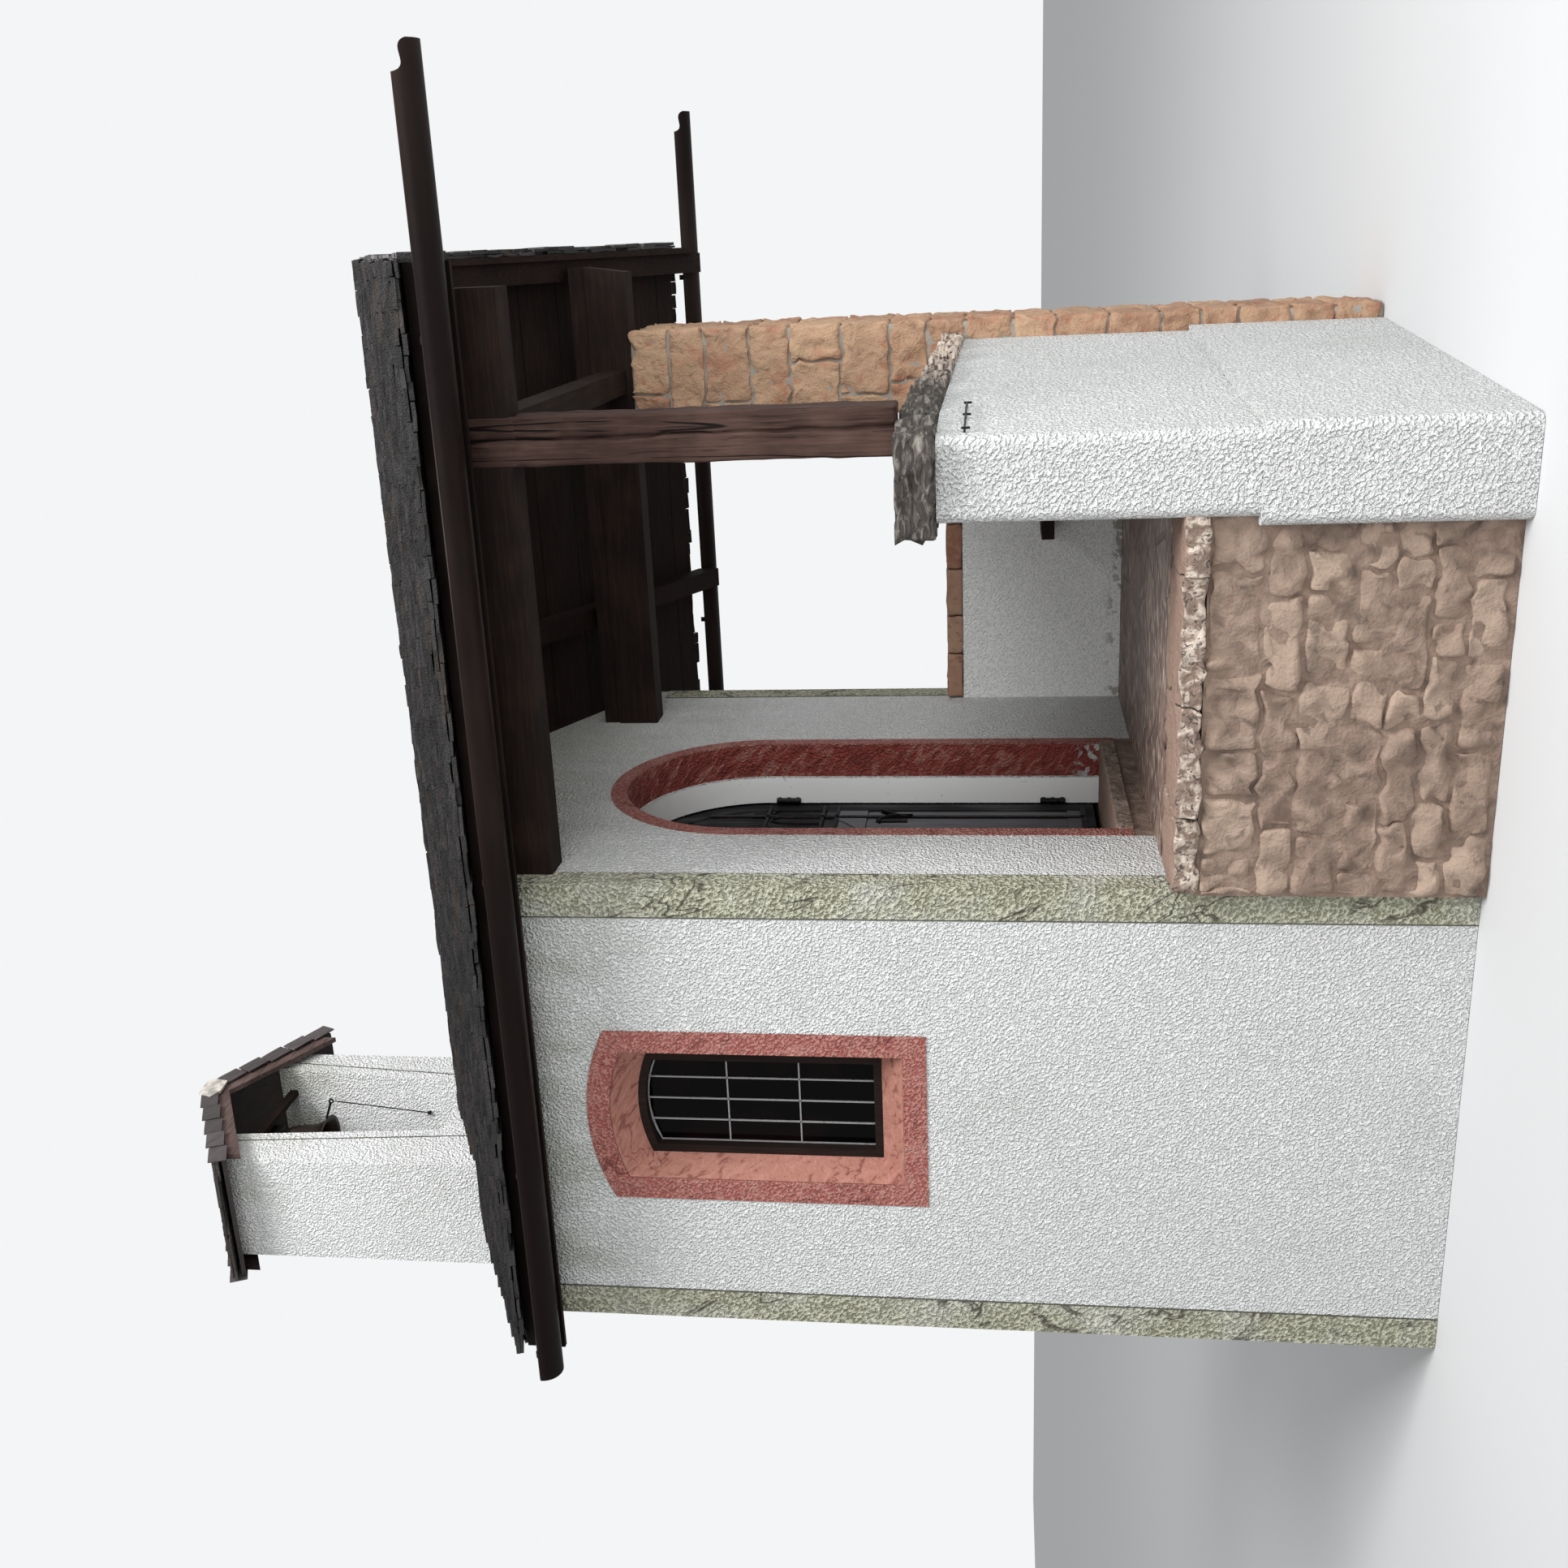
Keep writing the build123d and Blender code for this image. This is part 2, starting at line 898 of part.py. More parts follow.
# Timber window frame on the near side
frame_front_x = surround_depth
with BuildPart() as window_frame_near:
    with BuildSketch(at_x(frame_front_x)):
        with BuildLine():
            Polyline(
                (window_y - frame_half, frame_side_z),
                (window_y - frame_half, frame_bottom_z),
                (window_y + frame_half, frame_bottom_z),
                (window_y + frame_half, frame_side_z),
            )
            ThreePointArc(
                (window_y + frame_half, frame_side_z),
                (window_y, frame_side_z + frame_rise),
                (window_y - frame_half, frame_side_z),
            )
        make_face()
        offset(amount=-frame_bar, mode=Mode.SUBTRACT)
    extrude(amount=frame_depth)
window_frame_near.part.label = "window_frame_near"
export_step(window_frame_near.part, "parts/window_frame_near.step")

with BuildPart() as window_frame_far:
    mirror(window_frame_near.part, about=Plane.YZ)
window_frame_far.part.label = "window_frame_far"
export_step(window_frame_far.part, "parts/window_frame_far.step")

# One pane behind the frame on each side
glass_x = frame_front_x + frame_depth
with BuildPart() as window_glass:
    for near in (glass_x, nave_width - glass_x - glass_sheet):
        block(
            near,
            near + glass_sheet,
            window_y - frame_half + frame_bar - glass_lap,
            window_y + frame_half - frame_bar + glass_lap,
            frame_bottom_z + frame_bar - glass_lap,
            frame_side_z - frame_bar + glass_lap,
        )
window_glass.part.label = "window_glass"
export_step(window_glass.part, "parts/window_glass.step")

# Front parapet line, skewed to the nave
def front_y(x):
    """Outer face of the front parapet at x."""
    return front_wall_y - front_wall_skew * (x - front_wall_x)


# Rubble base of the porch platform
with BuildPart() as platform_base:
    with BuildSketch():
        with BuildLine():
            Polyline(
                (sx(base_x), 0),
                (sx(door_x - portal_outer), 0),
                (sx(door_x - portal_outer), -step_back),
                (sx(door_x + portal_outer), -step_back),
                (sx(door_x + portal_outer), 0),
                (sx(parapet_x), 0),
                (sx(parapet_x), pillar_rear_y),
                (sx(pillar_x), pillar_rear_y),
                (sx(pillar_x), front_y(pillar_x) + front_wall_thick),
                (sx(base_x), front_y(base_x) + front_wall_thick),
                close=True,
            )
        make_face()
    extrude(amount=platform_z - edge_slab_depth)
platform_base.part.label = "platform_base"
export_step(platform_base.part, "parts/platform_base.step")

# Rough edge slabs on the open side
with BuildPart() as platform_edge:
    with BuildSketch(Plane.XY.offset(platform_z - edge_slab_depth)):
        with BuildLine():
            Polyline(
                (sx(edge_slab_x), -pilaster_proud - 1),
                (sx(edge_slab_x + edge_slab_width), -pilaster_proud - 1),
                (
                    sx(edge_slab_x + edge_slab_width),
                    front_y(edge_slab_x + edge_slab_width) + front_wall_thick,
                ),
                (sx(edge_slab_x), front_y(edge_slab_x) + front_wall_thick),
                close=True,
            )
        make_face()
    extrude(amount=edge_slab_depth)
    fillet(platform_edge.edges().filter_by(Axis.Y).sort_by(Axis.X)[0:2], 12)
platform_edge.part.label = "platform_edge"
export_step(platform_edge.part, "parts/platform_edge.step")

# Paving of the porch behind the edge slabs
with BuildPart() as platform_paving:
    with BuildSketch(Plane.XY.offset(platform_z - edge_slab_depth)):
        with BuildLine():
            Polyline(
                (sx(edge_slab_x + edge_slab_width), 0),
                (sx(door_x - portal_outer), 0),
                (sx(door_x - portal_outer), -step_back),
                (sx(door_x + portal_outer), -step_back),
                (sx(door_x + portal_outer), 0),
                (sx(parapet_x), 0),
                (sx(parapet_x), pillar_rear_y),
                (sx(pillar_x), pillar_rear_y),
                (sx(pillar_x), front_y(pillar_x) + front_wall_thick),
                (
                    sx(edge_slab_x + edge_slab_width),
                    front_y(edge_slab_x + edge_slab_width) + front_wall_thick,
                ),
                close=True,
            )
        make_face()
    extrude(amount=edge_slab_depth)
    block(
        door_x - portal_outer,
        door_x + portal_outer,
        -step_back,
        0,
        platform_z - paving_depth,
        platform_z,
    )
platform_paving.part.label = "platform_paving"
export_step(platform_paving.part, "parts/platform_paving.step")

# Parapet on the far side
with BuildPart() as parapet_far:
    block(parapet_x, nave_width, pillar_rear_y, 0, 0, parapet_z)
parapet_far.part.label = "parapet_far"
export_step(parapet_far.part, "parts/parapet_far.step")

with BuildPart() as parapet_far_cap:
    block(
        parapet_x - parapet_cap_over,
        nave_width + parapet_cap_over,
        pillar_rear_y,
        -pilaster_proud - 1,
        parapet_z,
        parapet_z + parapet_cap_depth,
    )
    chamfer(parapet_far_cap.edges().filter_by(Axis.Y), 8)
parapet_far_cap.part.label = "parapet_far_cap"
export_step(parapet_far_cap.part, "parts/parapet_far_cap.step")

# Front parapet, its near end is the white pier under the post, its top falls to the pillar
front_far_z = front_wall_z - front_wall_fall
with BuildPart() as parapet_front:
    with BuildSketch():
        with BuildLine():
            Polyline(
                (sx(front_wall_x), front_y(front_wall_x)),
                (sx(pillar_x), front_y(pillar_x)),
                (sx(pillar_x), front_y(pillar_x) + front_wall_thick),
                (sx(front_wall_x), front_y(front_wall_x) + front_wall_thick),
                close=True,
            )
        make_face()
    extrude(amount=front_wall_z)
    fillet(parapet_front.edges().filter_by(Axis.Z).sort_by(Axis.X)[0:2], pier_round)
    with BuildSketch(at_y(front_y(front_wall_x) + front_wall_thick + overcut)):
        with BuildLine():
            Polyline(
                (sx(front_level_x), front_wall_z),
                (sx(pillar_x), front_far_z),
                (sx(pillar_x), front_wall_z + overcut),
                (sx(front_level_x), front_wall_z + overcut),
                close=True,
            )
        make_face()
    extrude(amount=3 * front_wall_thick, mode=Mode.SUBTRACT)
    with BuildSketch() as front_foot:
        with BuildLine():
            Polyline(
                (sx(front_wall_x) - front_foot_step, front_y(front_wall_x) - front_foot_step),
                (sx(pillar_x), front_y(pillar_x) - front_foot_step),
                (sx(pillar_x), front_y(pillar_x) + front_wall_thick),
                (sx(base_x), front_y(base_x) + front_wall_thick),
                (sx(base_x), front_y(front_wall_x) + front_wall_thick + front_foot_step),
                (
                    sx(front_wall_x) - front_foot_step,
                    front_y(front_wall_x) + front_wall_thick + front_foot_step,
                ),
                close=True,
            )
        make_face()
        fillet(front_foot.vertices().sort_by(Axis.X)[0:2], pier_round)
    extrude(amount=front_foot_z)
parapet_front.part.label = "parapet_front"
export_step(parapet_front.part, "parts/parapet_front.step")

# Rough coping of the front parapet, it overhangs to the rear at its near end
cap_top_z = front_wall_z + front_cap_depth
cap_far_z = front_far_z + front_cap_far_depth
with BuildPart() as parapet_front_cap:
    with BuildSketch(Plane.XY.offset(front_far_z)):
        with BuildLine():
            Polyline(
                (sx(front_wall_x) - front_cap_end, front_y(front_wall_x) - front_cap_lip),
                (sx(pillar_x), front_y(pillar_x) - front_cap_far_lip),
                (sx(pillar_x), front_y(pillar_x) + front_wall_thick + front_cap_lip),
                (sx(front_level_x), front_y(front_level_x) + front_wall_thick + front_cap_over),
                (
                    sx(front_wall_x) - front_cap_end,
                    front_y(front_wall_x) + front_wall_thick + front_cap_over,
                ),
                close=True,
            )
        make_face()
    extrude(amount=cap_top_z - front_far_z)
    fillet(parapet_front_cap.edges().filter_by(Axis.Z).sort_by(Axis.X)[0:2], front_cap_lip)
    with BuildSketch(at_y(front_y(front_wall_x) + 2 * front_wall_thick)):
        with BuildLine():
            Polyline(
                (sx(front_wall_x) - 2 * front_cap_end, front_far_z - overcut),
                (sx(front_wall_x) - 2 * front_cap_end, front_wall_z),
                (sx(front_level_x), front_wall_z),
                (sx(pillar_x), front_far_z),
                (sx(pillar_x), front_far_z - overcut),
                close=True,
            )
        make_face()
        with BuildLine():
            Polyline(
                (sx(front_level_x), cap_top_z),
                (sx(pillar_x), cap_far_z),
                (sx(pillar_x), cap_top_z + overcut),
                (sx(front_level_x), cap_top_z + overcut),
                close=True,
            )
        make_face()
    extrude(amount=4 * front_wall_thick, mode=Mode.SUBTRACT)
parapet_front_cap.part.label = "parapet_front_cap"
export_step(parapet_front_cap.part, "parts/parapet_front_cap.step")

# Thin forged rod with three upright eyes on stems in the front parapet
iron_x = (-40, 210, 440)
with BuildPart() as wall_iron:
    with BuildSketch(Plane(
        (sx(iron_x[0]), front_y(iron_x[0]) - seat_gap - iron_stem, iron_z),
        x_dir=(0, 1, 0),
        z_dir=(1, -front_wall_skew, 0),
    )):
        Circle(iron_radius)
    extrude(amount=(iron_x[2] - iron_x[0]) * sqrt(1 + front_wall_skew * front_wall_skew))
    for x in iron_x:
        with Locations((sx(x), front_y(x) - seat_gap - iron_stem / 2 - iron_radius / 2, iron_z)):
            Box(2 * iron_radius, iron_stem + iron_radius, 2 * iron_radius)
        with Locations((sx(x), front_y(x) - seat_gap - iron_stem, iron_z - iron_radius)):
            Box(2 * iron_radius, 2 * iron_radius, iron_eye)
wall_iron.part.label = "wall_iron"
export_step(wall_iron.part, "parts/wall_iron.step")

# Square post on the pier, lapped over the face of the near purlin
post_foot_z = cap_top_z
with BuildPart() as post:
    block(
        post_x,
        post_x + post_width,
        post_front_y,
        post_front_y + post_width,
        post_foot_z,
        purlin_bottom_z,
    )
    chamfer(post.edges().filter_by(Axis.Z), post_chamfer)
    block(
        post_x,
        post_x + post_lap,
        post_front_y,
        post_front_y + post_width,
        purlin_bottom_z - post_top_lap,
        post_top_z,
    )
post.part.label = "post"
export_step(post.part, "parts/post.step")

# Block stone pillar
with BuildPart() as stone_pillar:
    block(pillar_x, nave_width, pillar_front_y, pillar_rear_y, 0, pillar_z)
    fillet(stone_pillar.edges().filter_by(Axis.Z), pillar_round)
stone_pillar.part.label = "stone_pillar"
export_step(stone_pillar.part, "parts/stone_pillar.step")

# Bench board on the far parapet
with BuildPart() as bench_seat:
    block(
        parapet_x - bench_width,
        parapet_x,
        bench_front_y,
        bench_rear_y,
        bench_z,
        bench_z + bench_depth,
    )
bench_seat.part.label = "bench_seat"
export_step(bench_seat.part, "parts/bench_seat.step")

# Near eaves purlin, notched for the post
with BuildPart() as purlin_near:
    block(post_x, post_x + purlin_width, purlin_end_y, 0, purlin_bottom_z, purlin_near_top_z)
    block(
        post_x,
        post_x + post_lap,
        post_front_y,
        post_front_y + post_width,
        purlin_bottom_z,
        post_top_z,
        mode=Mode.SUBTRACT,
    )
purlin_near.part.label = "purlin_near"
export_step(purlin_near.part, "parts/purlin_near.step")

# Far eaves purlin, a heavy beam with a lighter one on it
with BuildPart() as purlin_far:
    with BuildSketch(at_x(purlin_far_x)):
        with BuildLine():
            Polyline(
                (0, purlin_bottom_z),
                (purlin_end_y, purlin_bottom_z),
                (purlin_end_y - purlin_splay, purlin_far_top_z),
                (0, purlin_far_top_z),
                close=True,
            )
        make_face()
    extrude(amount=purlin_width)
    block(
        purlin_far_x + upper_inset,
        purlin_far_x + purlin_width - upper_inset,
        purlin_end_y - purlin_splay,
        0,
        purlin_far_top_z,
        roof_z(purlin_far_x + purlin_width - upper_inset, rafter_drop) - seat_gap,
    )
purlin_far.part.label = "purlin_far"
export_step(purlin_far.part, "parts/purlin_far.step")

# Ridge beam under the rafter heads
with BuildPart() as ridge_beam:
    block(
        ridge_x - ridge_beam_width / 2,
        ridge_x + ridge_beam_width / 2,
        purlin_end_y,
        0,
        roof_z(ridge_x + ridge_beam_width / 2, rafter_drop) - ridge_beam_height,
        roof_z(ridge_x + ridge_beam_width / 2, rafter_drop) - seat_gap,
    )
ridge_beam.part.label = "ridge_beam"
export_step(ridge_beam.part, "parts/ridge_beam.step")

# Cross beam from the post head to the pillar
with BuildPart() as tie_beam:
    block(
        post_x + purlin_width,
        purlin_far_x,
        tie_front_y,
        tie_rear_y,
        purlin_bottom_z + tie_lift,
        purlin_bottom_z + tie_lift + tie_height,
    )
tie_beam.part.label = "tie_beam"
export_step(tie_beam.part, "parts/tie_beam.step")

# Rafters in pairs, butted at the ridge
rafter_rear_y = verge_rear_y - verge_board - rafter_width
rafter_rows = (
    rafter_rear_y,
    (rafter_rear_y + rafter_porch_y) / 2,
    rafter_porch_y,
    verge_front_y + verge_board,
)
with BuildPart() as rafters_near:
    for y in rafter_rows:
        with BuildSketch(at_y(y + rafter_width)):
            with BuildLine():
                Polyline(
                    (sx(fascia_near_x + fascia), roof_z(fascia_near_x + fascia, board_drop)),
                    (sx(ridge_x), roof_z(ridge_x, board_drop)),
                    (sx(ridge_x), roof_z(ridge_x, rafter_drop)),
                    (sx(fascia_near_x + fascia), roof_z(fascia_near_x + fascia, rafter_drop)),
                    close=True,
                )
            make_face()
        extrude(amount=rafter_width)
    turret_hole()
rafters_near.part.label = "rafters_near"
export_step(rafters_near.part, "parts/rafters_near.step")

with BuildPart() as rafters_far:
    for y in rafter_rows:
        with BuildSketch(at_y(y + rafter_width)):
            with BuildLine():
                Polyline(
                    (sx(fascia_far_x), roof_z(fascia_far_x, board_drop)),
                    (sx(ridge_x), roof_z(ridge_x, board_drop)),
                    (sx(ridge_x), roof_z(ridge_x, rafter_drop)),
                    (sx(fascia_far_x), roof_z(fascia_far_x, rafter_drop)),
                    close=True,
                )
            make_face()
        extrude(amount=rafter_width)
    turret_hole()
rafters_far.part.label = "rafters_far"
export_step(rafters_far.part, "parts/rafters_far.step")

# Roof boarding, near and far slope
with BuildPart() as roof_boards_near:
    with BuildSketch(at_y(verge_rear_y - verge_board)):
        with BuildLine():
            Polyline(
                (sx(fascia_near_x + fascia), roof_z(fascia_near_x + fascia, shingle_drop)),
                (sx(ridge_x), roof_z(ridge_x, shingle_drop)),
                (sx(ridge_x), roof_z(ridge_x, board_drop)),
                (sx(fascia_near_x + fascia), roof_z(fascia_near_x + fascia, board_drop)),
                close=True,
            )
        make_face()
    extrude(amount=verge_rear_y - verge_front_y - 2 * verge_board)
    turret_hole()
roof_boards_near.part.label = "roof_boards_near"
export_step(roof_boards_near.part, "parts/roof_boards_near.step")

with BuildPart() as roof_boards_far:
    with BuildSketch(at_y(verge_rear_y - verge_board)):
        with BuildLine():
            Polyline(
                (sx(board_far_x), roof_z(board_far_x, shingle_drop)),
                (sx(ridge_x), roof_z(ridge_x, shingle_drop)),
                (sx(ridge_x), roof_z(ridge_x, board_drop)),
                (sx(board_far_x), roof_z(board_far_x, board_drop)),
                close=True,
            )
        make_face()
    extrude(amount=verge_rear_y - verge_front_y - 2 * verge_board)
    turret_hole()
roof_boards_far.part.label = "roof_boards_far"
export_step(roof_boards_far.part, "parts/roof_boards_far.step")

# Shingle cover, near and far slope
with BuildPart() as shingles_near:
    with BuildSketch(at_y(verge_rear_y)):
        with BuildLine():
            Polyline(
                (sx(eave_near_x), roof_z(eave_near_x)),
                (sx(ridge_x), roof_z(ridge_x)),
                (sx(ridge_x), roof_z(ridge_x, shingle_drop)),
                (sx(eave_near_x), roof_z(eave_near_x, shingle_drop)),
                close=True,
            )
        make_face()
    extrude(amount=verge_rear_y - verge_front_y)
    turret_hole()
shingles_near.part.label = "shingles_near"
export_step(shingles_near.part, "parts/shingles_near.step")

with BuildPart() as shingles_far:
    with BuildSketch(at_y(verge_rear_y)):
        with BuildLine():
            Polyline(
                (sx(eave_far_x), roof_z(eave_far_x)),
                (sx(ridge_x), roof_z(ridge_x)),
                (sx(ridge_x), roof_z(ridge_x, shingle_drop)),
                (sx(eave_far_x), roof_z(eave_far_x, shingle_drop)),
                close=True,
            )
        make_face()
    extrude(amount=verge_rear_y - verge_front_y)
    turret_hole()
shingles_far.part.label = "shingles_far"
export_step(shingles_far.part, "parts/shingles_far.step")

# Verge boards under the shingles at both gable ends
with BuildPart() as verge_boards:
    for y in (verge_front_y + verge_board, verge_rear_y):
        with BuildSketch(at_y(y)):
            with BuildLine():
                Polyline(
                    (sx(fascia_near_x + fascia), roof_z(fascia_near_x + fascia, shingle_drop)),
                    (sx(ridge_x), roof_z(ridge_x, shingle_drop)),
                    (sx(board_far_x), roof_z(board_far_x, shingle_drop)),
                    (sx(board_far_x), roof_z(board_far_x, shingle_drop + verge_height)),
                    (sx(ridge_x), roof_z(ridge_x, shingle_drop + verge_height)),
                    (
                        sx(fascia_near_x + fascia),
                        roof_z(fascia_near_x + fascia, shingle_drop + verge_height),
                    ),
                    close=True,
                )
            make_face()
        extrude(amount=verge_board)
    turret_hole()
verge_boards.part.label = "verge_boards"
export_step(verge_boards.part, "parts/verge_boards.step")

# Fascia board behind the near gutter, the far one hangs on the rafter tails
with BuildPart() as fascias:
    block(
        fascia_near_x,
        fascia_near_x + fascia,
        verge_front_y,
        verge_rear_y,
        roof_z(fascia_near_x, shingle_drop) - fascia_height,
        roof_z(fascia_near_x, shingle_drop),
    )
fascias.part.label = "fascias"
export_step(fascias.part, "parts/fascias.step")

# Half round gutter on the near side, its mouth cut to an ogee
with BuildPart() as gutter_near:
    with BuildSketch(at_y(gutter_rear_y)):
        with Locations((sx(gutter_near_x), gutter_near_z)):
            Circle(gutter_radius)
            Circle(gutter_radius - gutter_sheet, mode=Mode.SUBTRACT)
        with Locations((sx(gutter_near_x), gutter_near_z + gutter_radius)):
            Rectangle(3 * gutter_radius, 2 * gutter_radius, mode=Mode.SUBTRACT)
    extrude(amount=gutter_rear_y - gutter_tip_y)
    with BuildSketch(at_x(gutter_near_x - 2 * gutter_radius)):
        with BuildLine():
            Polyline(
                (gutter_tip_y - overcut, gutter_near_z - ogee_end),
                (gutter_tip_y - overcut, gutter_near_z + gutter_sheet),
                (gutter_front_y, gutter_near_z + gutter_sheet),
                (gutter_front_y, gutter_near_z),
            )
            Spline(
                (gutter_front_y, gutter_near_z),
                (gutter_front_y - gutter_lip / 4, gutter_near_z - ogee_rise),
                (gutter_front_y - gutter_lip * 0.62, gutter_near_z - ogee_dip),
                (gutter_tip_y - overcut, gutter_near_z - ogee_end),
            )
        make_face()
    extrude(amount=4 * gutter_radius, mode=Mode.SUBTRACT)
gutter_near.part.label = "gutter_near"
export_step(gutter_near.part, "parts/gutter_near.step")

with BuildPart() as gutter_far:
    with BuildSketch(at_y(gutter_rear_y)):
        with Locations((sx(gutter_far_x), gutter_far_z)):
            Circle(gutter_radius)
            Circle(gutter_radius - gutter_sheet, mode=Mode.SUBTRACT)
        with Locations((sx(gutter_far_x), gutter_far_z + gutter_radius)):
            Rectangle(3 * gutter_radius, 2 * gutter_radius, mode=Mode.SUBTRACT)
    extrude(amount=gutter_rear_y - gutter_tip_y)
    with BuildSketch(at_x(gutter_far_x - 2 * gutter_radius)):
        with BuildLine():
            Polyline(
                (gutter_tip_y - overcut, gutter_far_z - ogee_end),
                (gutter_tip_y - overcut, gutter_far_z + gutter_sheet),
                (gutter_front_y, gutter_far_z + gutter_sheet),
                (gutter_front_y, gutter_far_z),
            )
            Spline(
                (gutter_front_y, gutter_far_z),
                (gutter_front_y - gutter_lip / 4, gutter_far_z - ogee_rise),
                (gutter_front_y - gutter_lip * 0.62, gutter_far_z - ogee_dip),
                (gutter_tip_y - overcut, gutter_far_z - ogee_end),
            )
        make_face()
    extrude(amount=4 * gutter_radius, mode=Mode.SUBTRACT)
gutter_far.part.label = "gutter_far"
export_step(gutter_far.part, "parts/gutter_far.step")

# Turret, its niche is open to the front and to the roof and widens upwards
turret_cos = 1 / sqrt(1 + turret_slope * turret_slope)
turret_drop = turret_cover / turret_cos


def turret_z(x, drop=0.0):
    """Height of the turret roof at x, lowered by a vertical drop."""
    return turret_apex_z - turret_slope * abs(x - ridge_x) - drop


with BuildPart() as turret_walls:
    with BuildSketch(at_y(turret_rear_y)):
        with BuildLine():
            Polyline(
                (sx(turret_near_x), turret_base_z),
                (sx(turret_far_x), turret_base_z),
                (sx(turret_far_x), turret_z(turret_far_x, turret_drop)),
                (sx(ridge_x), turret_z(ridge_x, turret_drop)),
                (sx(turret_near_x), turret_z(turret_near_x, turret_drop)),
                close=True,
            )
        make_face()
    extrude(amount=turret_rear_y - turret_front_y)
    with BuildSketch(at_y(turret_rear_y - turret_wall)):
        with BuildLine():
            Polyline(
                (sx(ridge_x - niche_half), niche_bottom_z),
                (sx(ridge_x + niche_half), niche_bottom_z),
                (sx(ridge_x + niche_at(turret_apex_z)), turret_apex_z),
                (sx(ridge_x - niche_at(turret_apex_z)), turret_apex_z),
                close=True,
            )
        make_face()
    extrude(amount=turret_rear_y - turret_wall - turret_front_y + overcut, mode=Mode.SUBTRACT)
turret_walls.part.label = "turret_walls"
export_step(turret_walls.part, "parts/turret_walls.step")

# Turret roof, two slopes
with BuildPart() as turret_roof:
    with BuildSketch(at_y(turret_verge_rear_y)):
        with BuildLine():
            Polyline(
                (sx(ridge_x - turret_eave_half), turret_z(ridge_x - turret_eave_half)),
                (sx(ridge_x), turret_z(ridge_x)),
                (sx(ridge_x + turret_eave_half), turret_z(ridge_x + turret_eave_half)),
                (
                    sx(ridge_x + turret_eave_half),
                    turret_z(ridge_x + turret_eave_half, turret_drop),
                ),
                (sx(ridge_x), turret_z(ridge_x, turret_drop)),
                (
                    sx(ridge_x - turret_eave_half),
                    turret_z(ridge_x - turret_eave_half, turret_drop),
                ),
                close=True,
            )
        make_face()
    extrude(amount=turret_verge_rear_y - turret_verge_front_y)
turret_roof.part.label = "turret_roof"
export_step(turret_roof.part, "parts/turret_roof.step")

# Barge boards of the turret, front and rear
barge_half = turret_eave_half - barge_end
barge_drop = turret_drop + turret_barge_height
with BuildPart() as turret_barges:
    for y in (turret_verge_front_y + turret_barge + barge_inset, turret_verge_rear_y - barge_inset):
        with BuildSketch(at_y(y)):
            with BuildLine():
                Polyline(
                    (sx(ridge_x - barge_half), turret_z(ridge_x - barge_half, turret_drop)),
                    (sx(ridge_x), turret_z(ridge_x, turret_drop)),
                    (sx(ridge_x + barge_half), turret_z(ridge_x + barge_half, turret_drop)),
                    (sx(ridge_x + barge_half), turret_z(ridge_x + barge_half, barge_drop)),
                    (sx(ridge_x), turret_z(ridge_x, barge_drop)),
                    (sx(ridge_x - barge_half), turret_z(ridge_x - barge_half, barge_drop)),
                    close=True,
                )
            make_face()
        extrude(amount=turret_barge)
turret_barges.part.label = "turret_barges"
export_step(turret_barges.part, "parts/turret_barges.step")

# Pale six sided plate at the turret apex, each corner right of the ridge and below the apex
plate_corners = ((-69, 31), (41, 20), (80, 44), (63, 125), (-44, 137), (-101, 106))
with BuildPart() as apex_plate:
    with BuildSketch(at_y(turret_verge_front_y)):
        with BuildLine():
            Polyline(
                *[(sx(ridge_x) + x, turret_apex_z - z) for x, z in plate_corners],
                close=True,
            )
        make_face()
    extrude(amount=plate_sheet)
apex_plate.part.label = "apex_plate"
export_step(apex_plate.part, "parts/apex_plate.step")

# Bell with crown and clapper, turned about its own axis
with BuildPart() as bell:
    with BuildSketch(Plane.XZ):
        with BuildLine():
            Polyline((0, bell_height + crown_height), (0, bell_height - bell_sheet))
            Polyline((0, bell_height - bell_sheet), (48, bell_height - bell_sheet - 4))
            Spline(
                (48, bell_height - bell_sheet - 4),
                (62, bell_height - 45),
                (74, 95),
                (bell_lip_radius - bell_sheet - 6, 0),
            )
            Line((bell_lip_radius - bell_sheet - 6, 0), (bell_lip_radius, 0))
            Spline(
                (bell_lip_radius, 0),
                (88, 95),
                (76, bell_height - 40),
                (55, bell_height + 4),
            )
            Polyline(
                (55, bell_height + 4),
                (20, bell_height + 12),
                (20, bell_height + crown_height),
                (0, bell_height + crown_height),
            )
        make_face()
    revolve(axis=Axis.Z)
    with Locations((0, 0, bell_height / 2 - 5)):
        Cylinder(6, bell_height + 10)
    with Locations((0, 0, -5)):
        Sphere(20)
bell.part = bell.part.moved(Location((sx(ridge_x), bell_y, bell_lip_z)))
bell.part.label = "bell"
export_step(bell.part, "parts/bell.step")

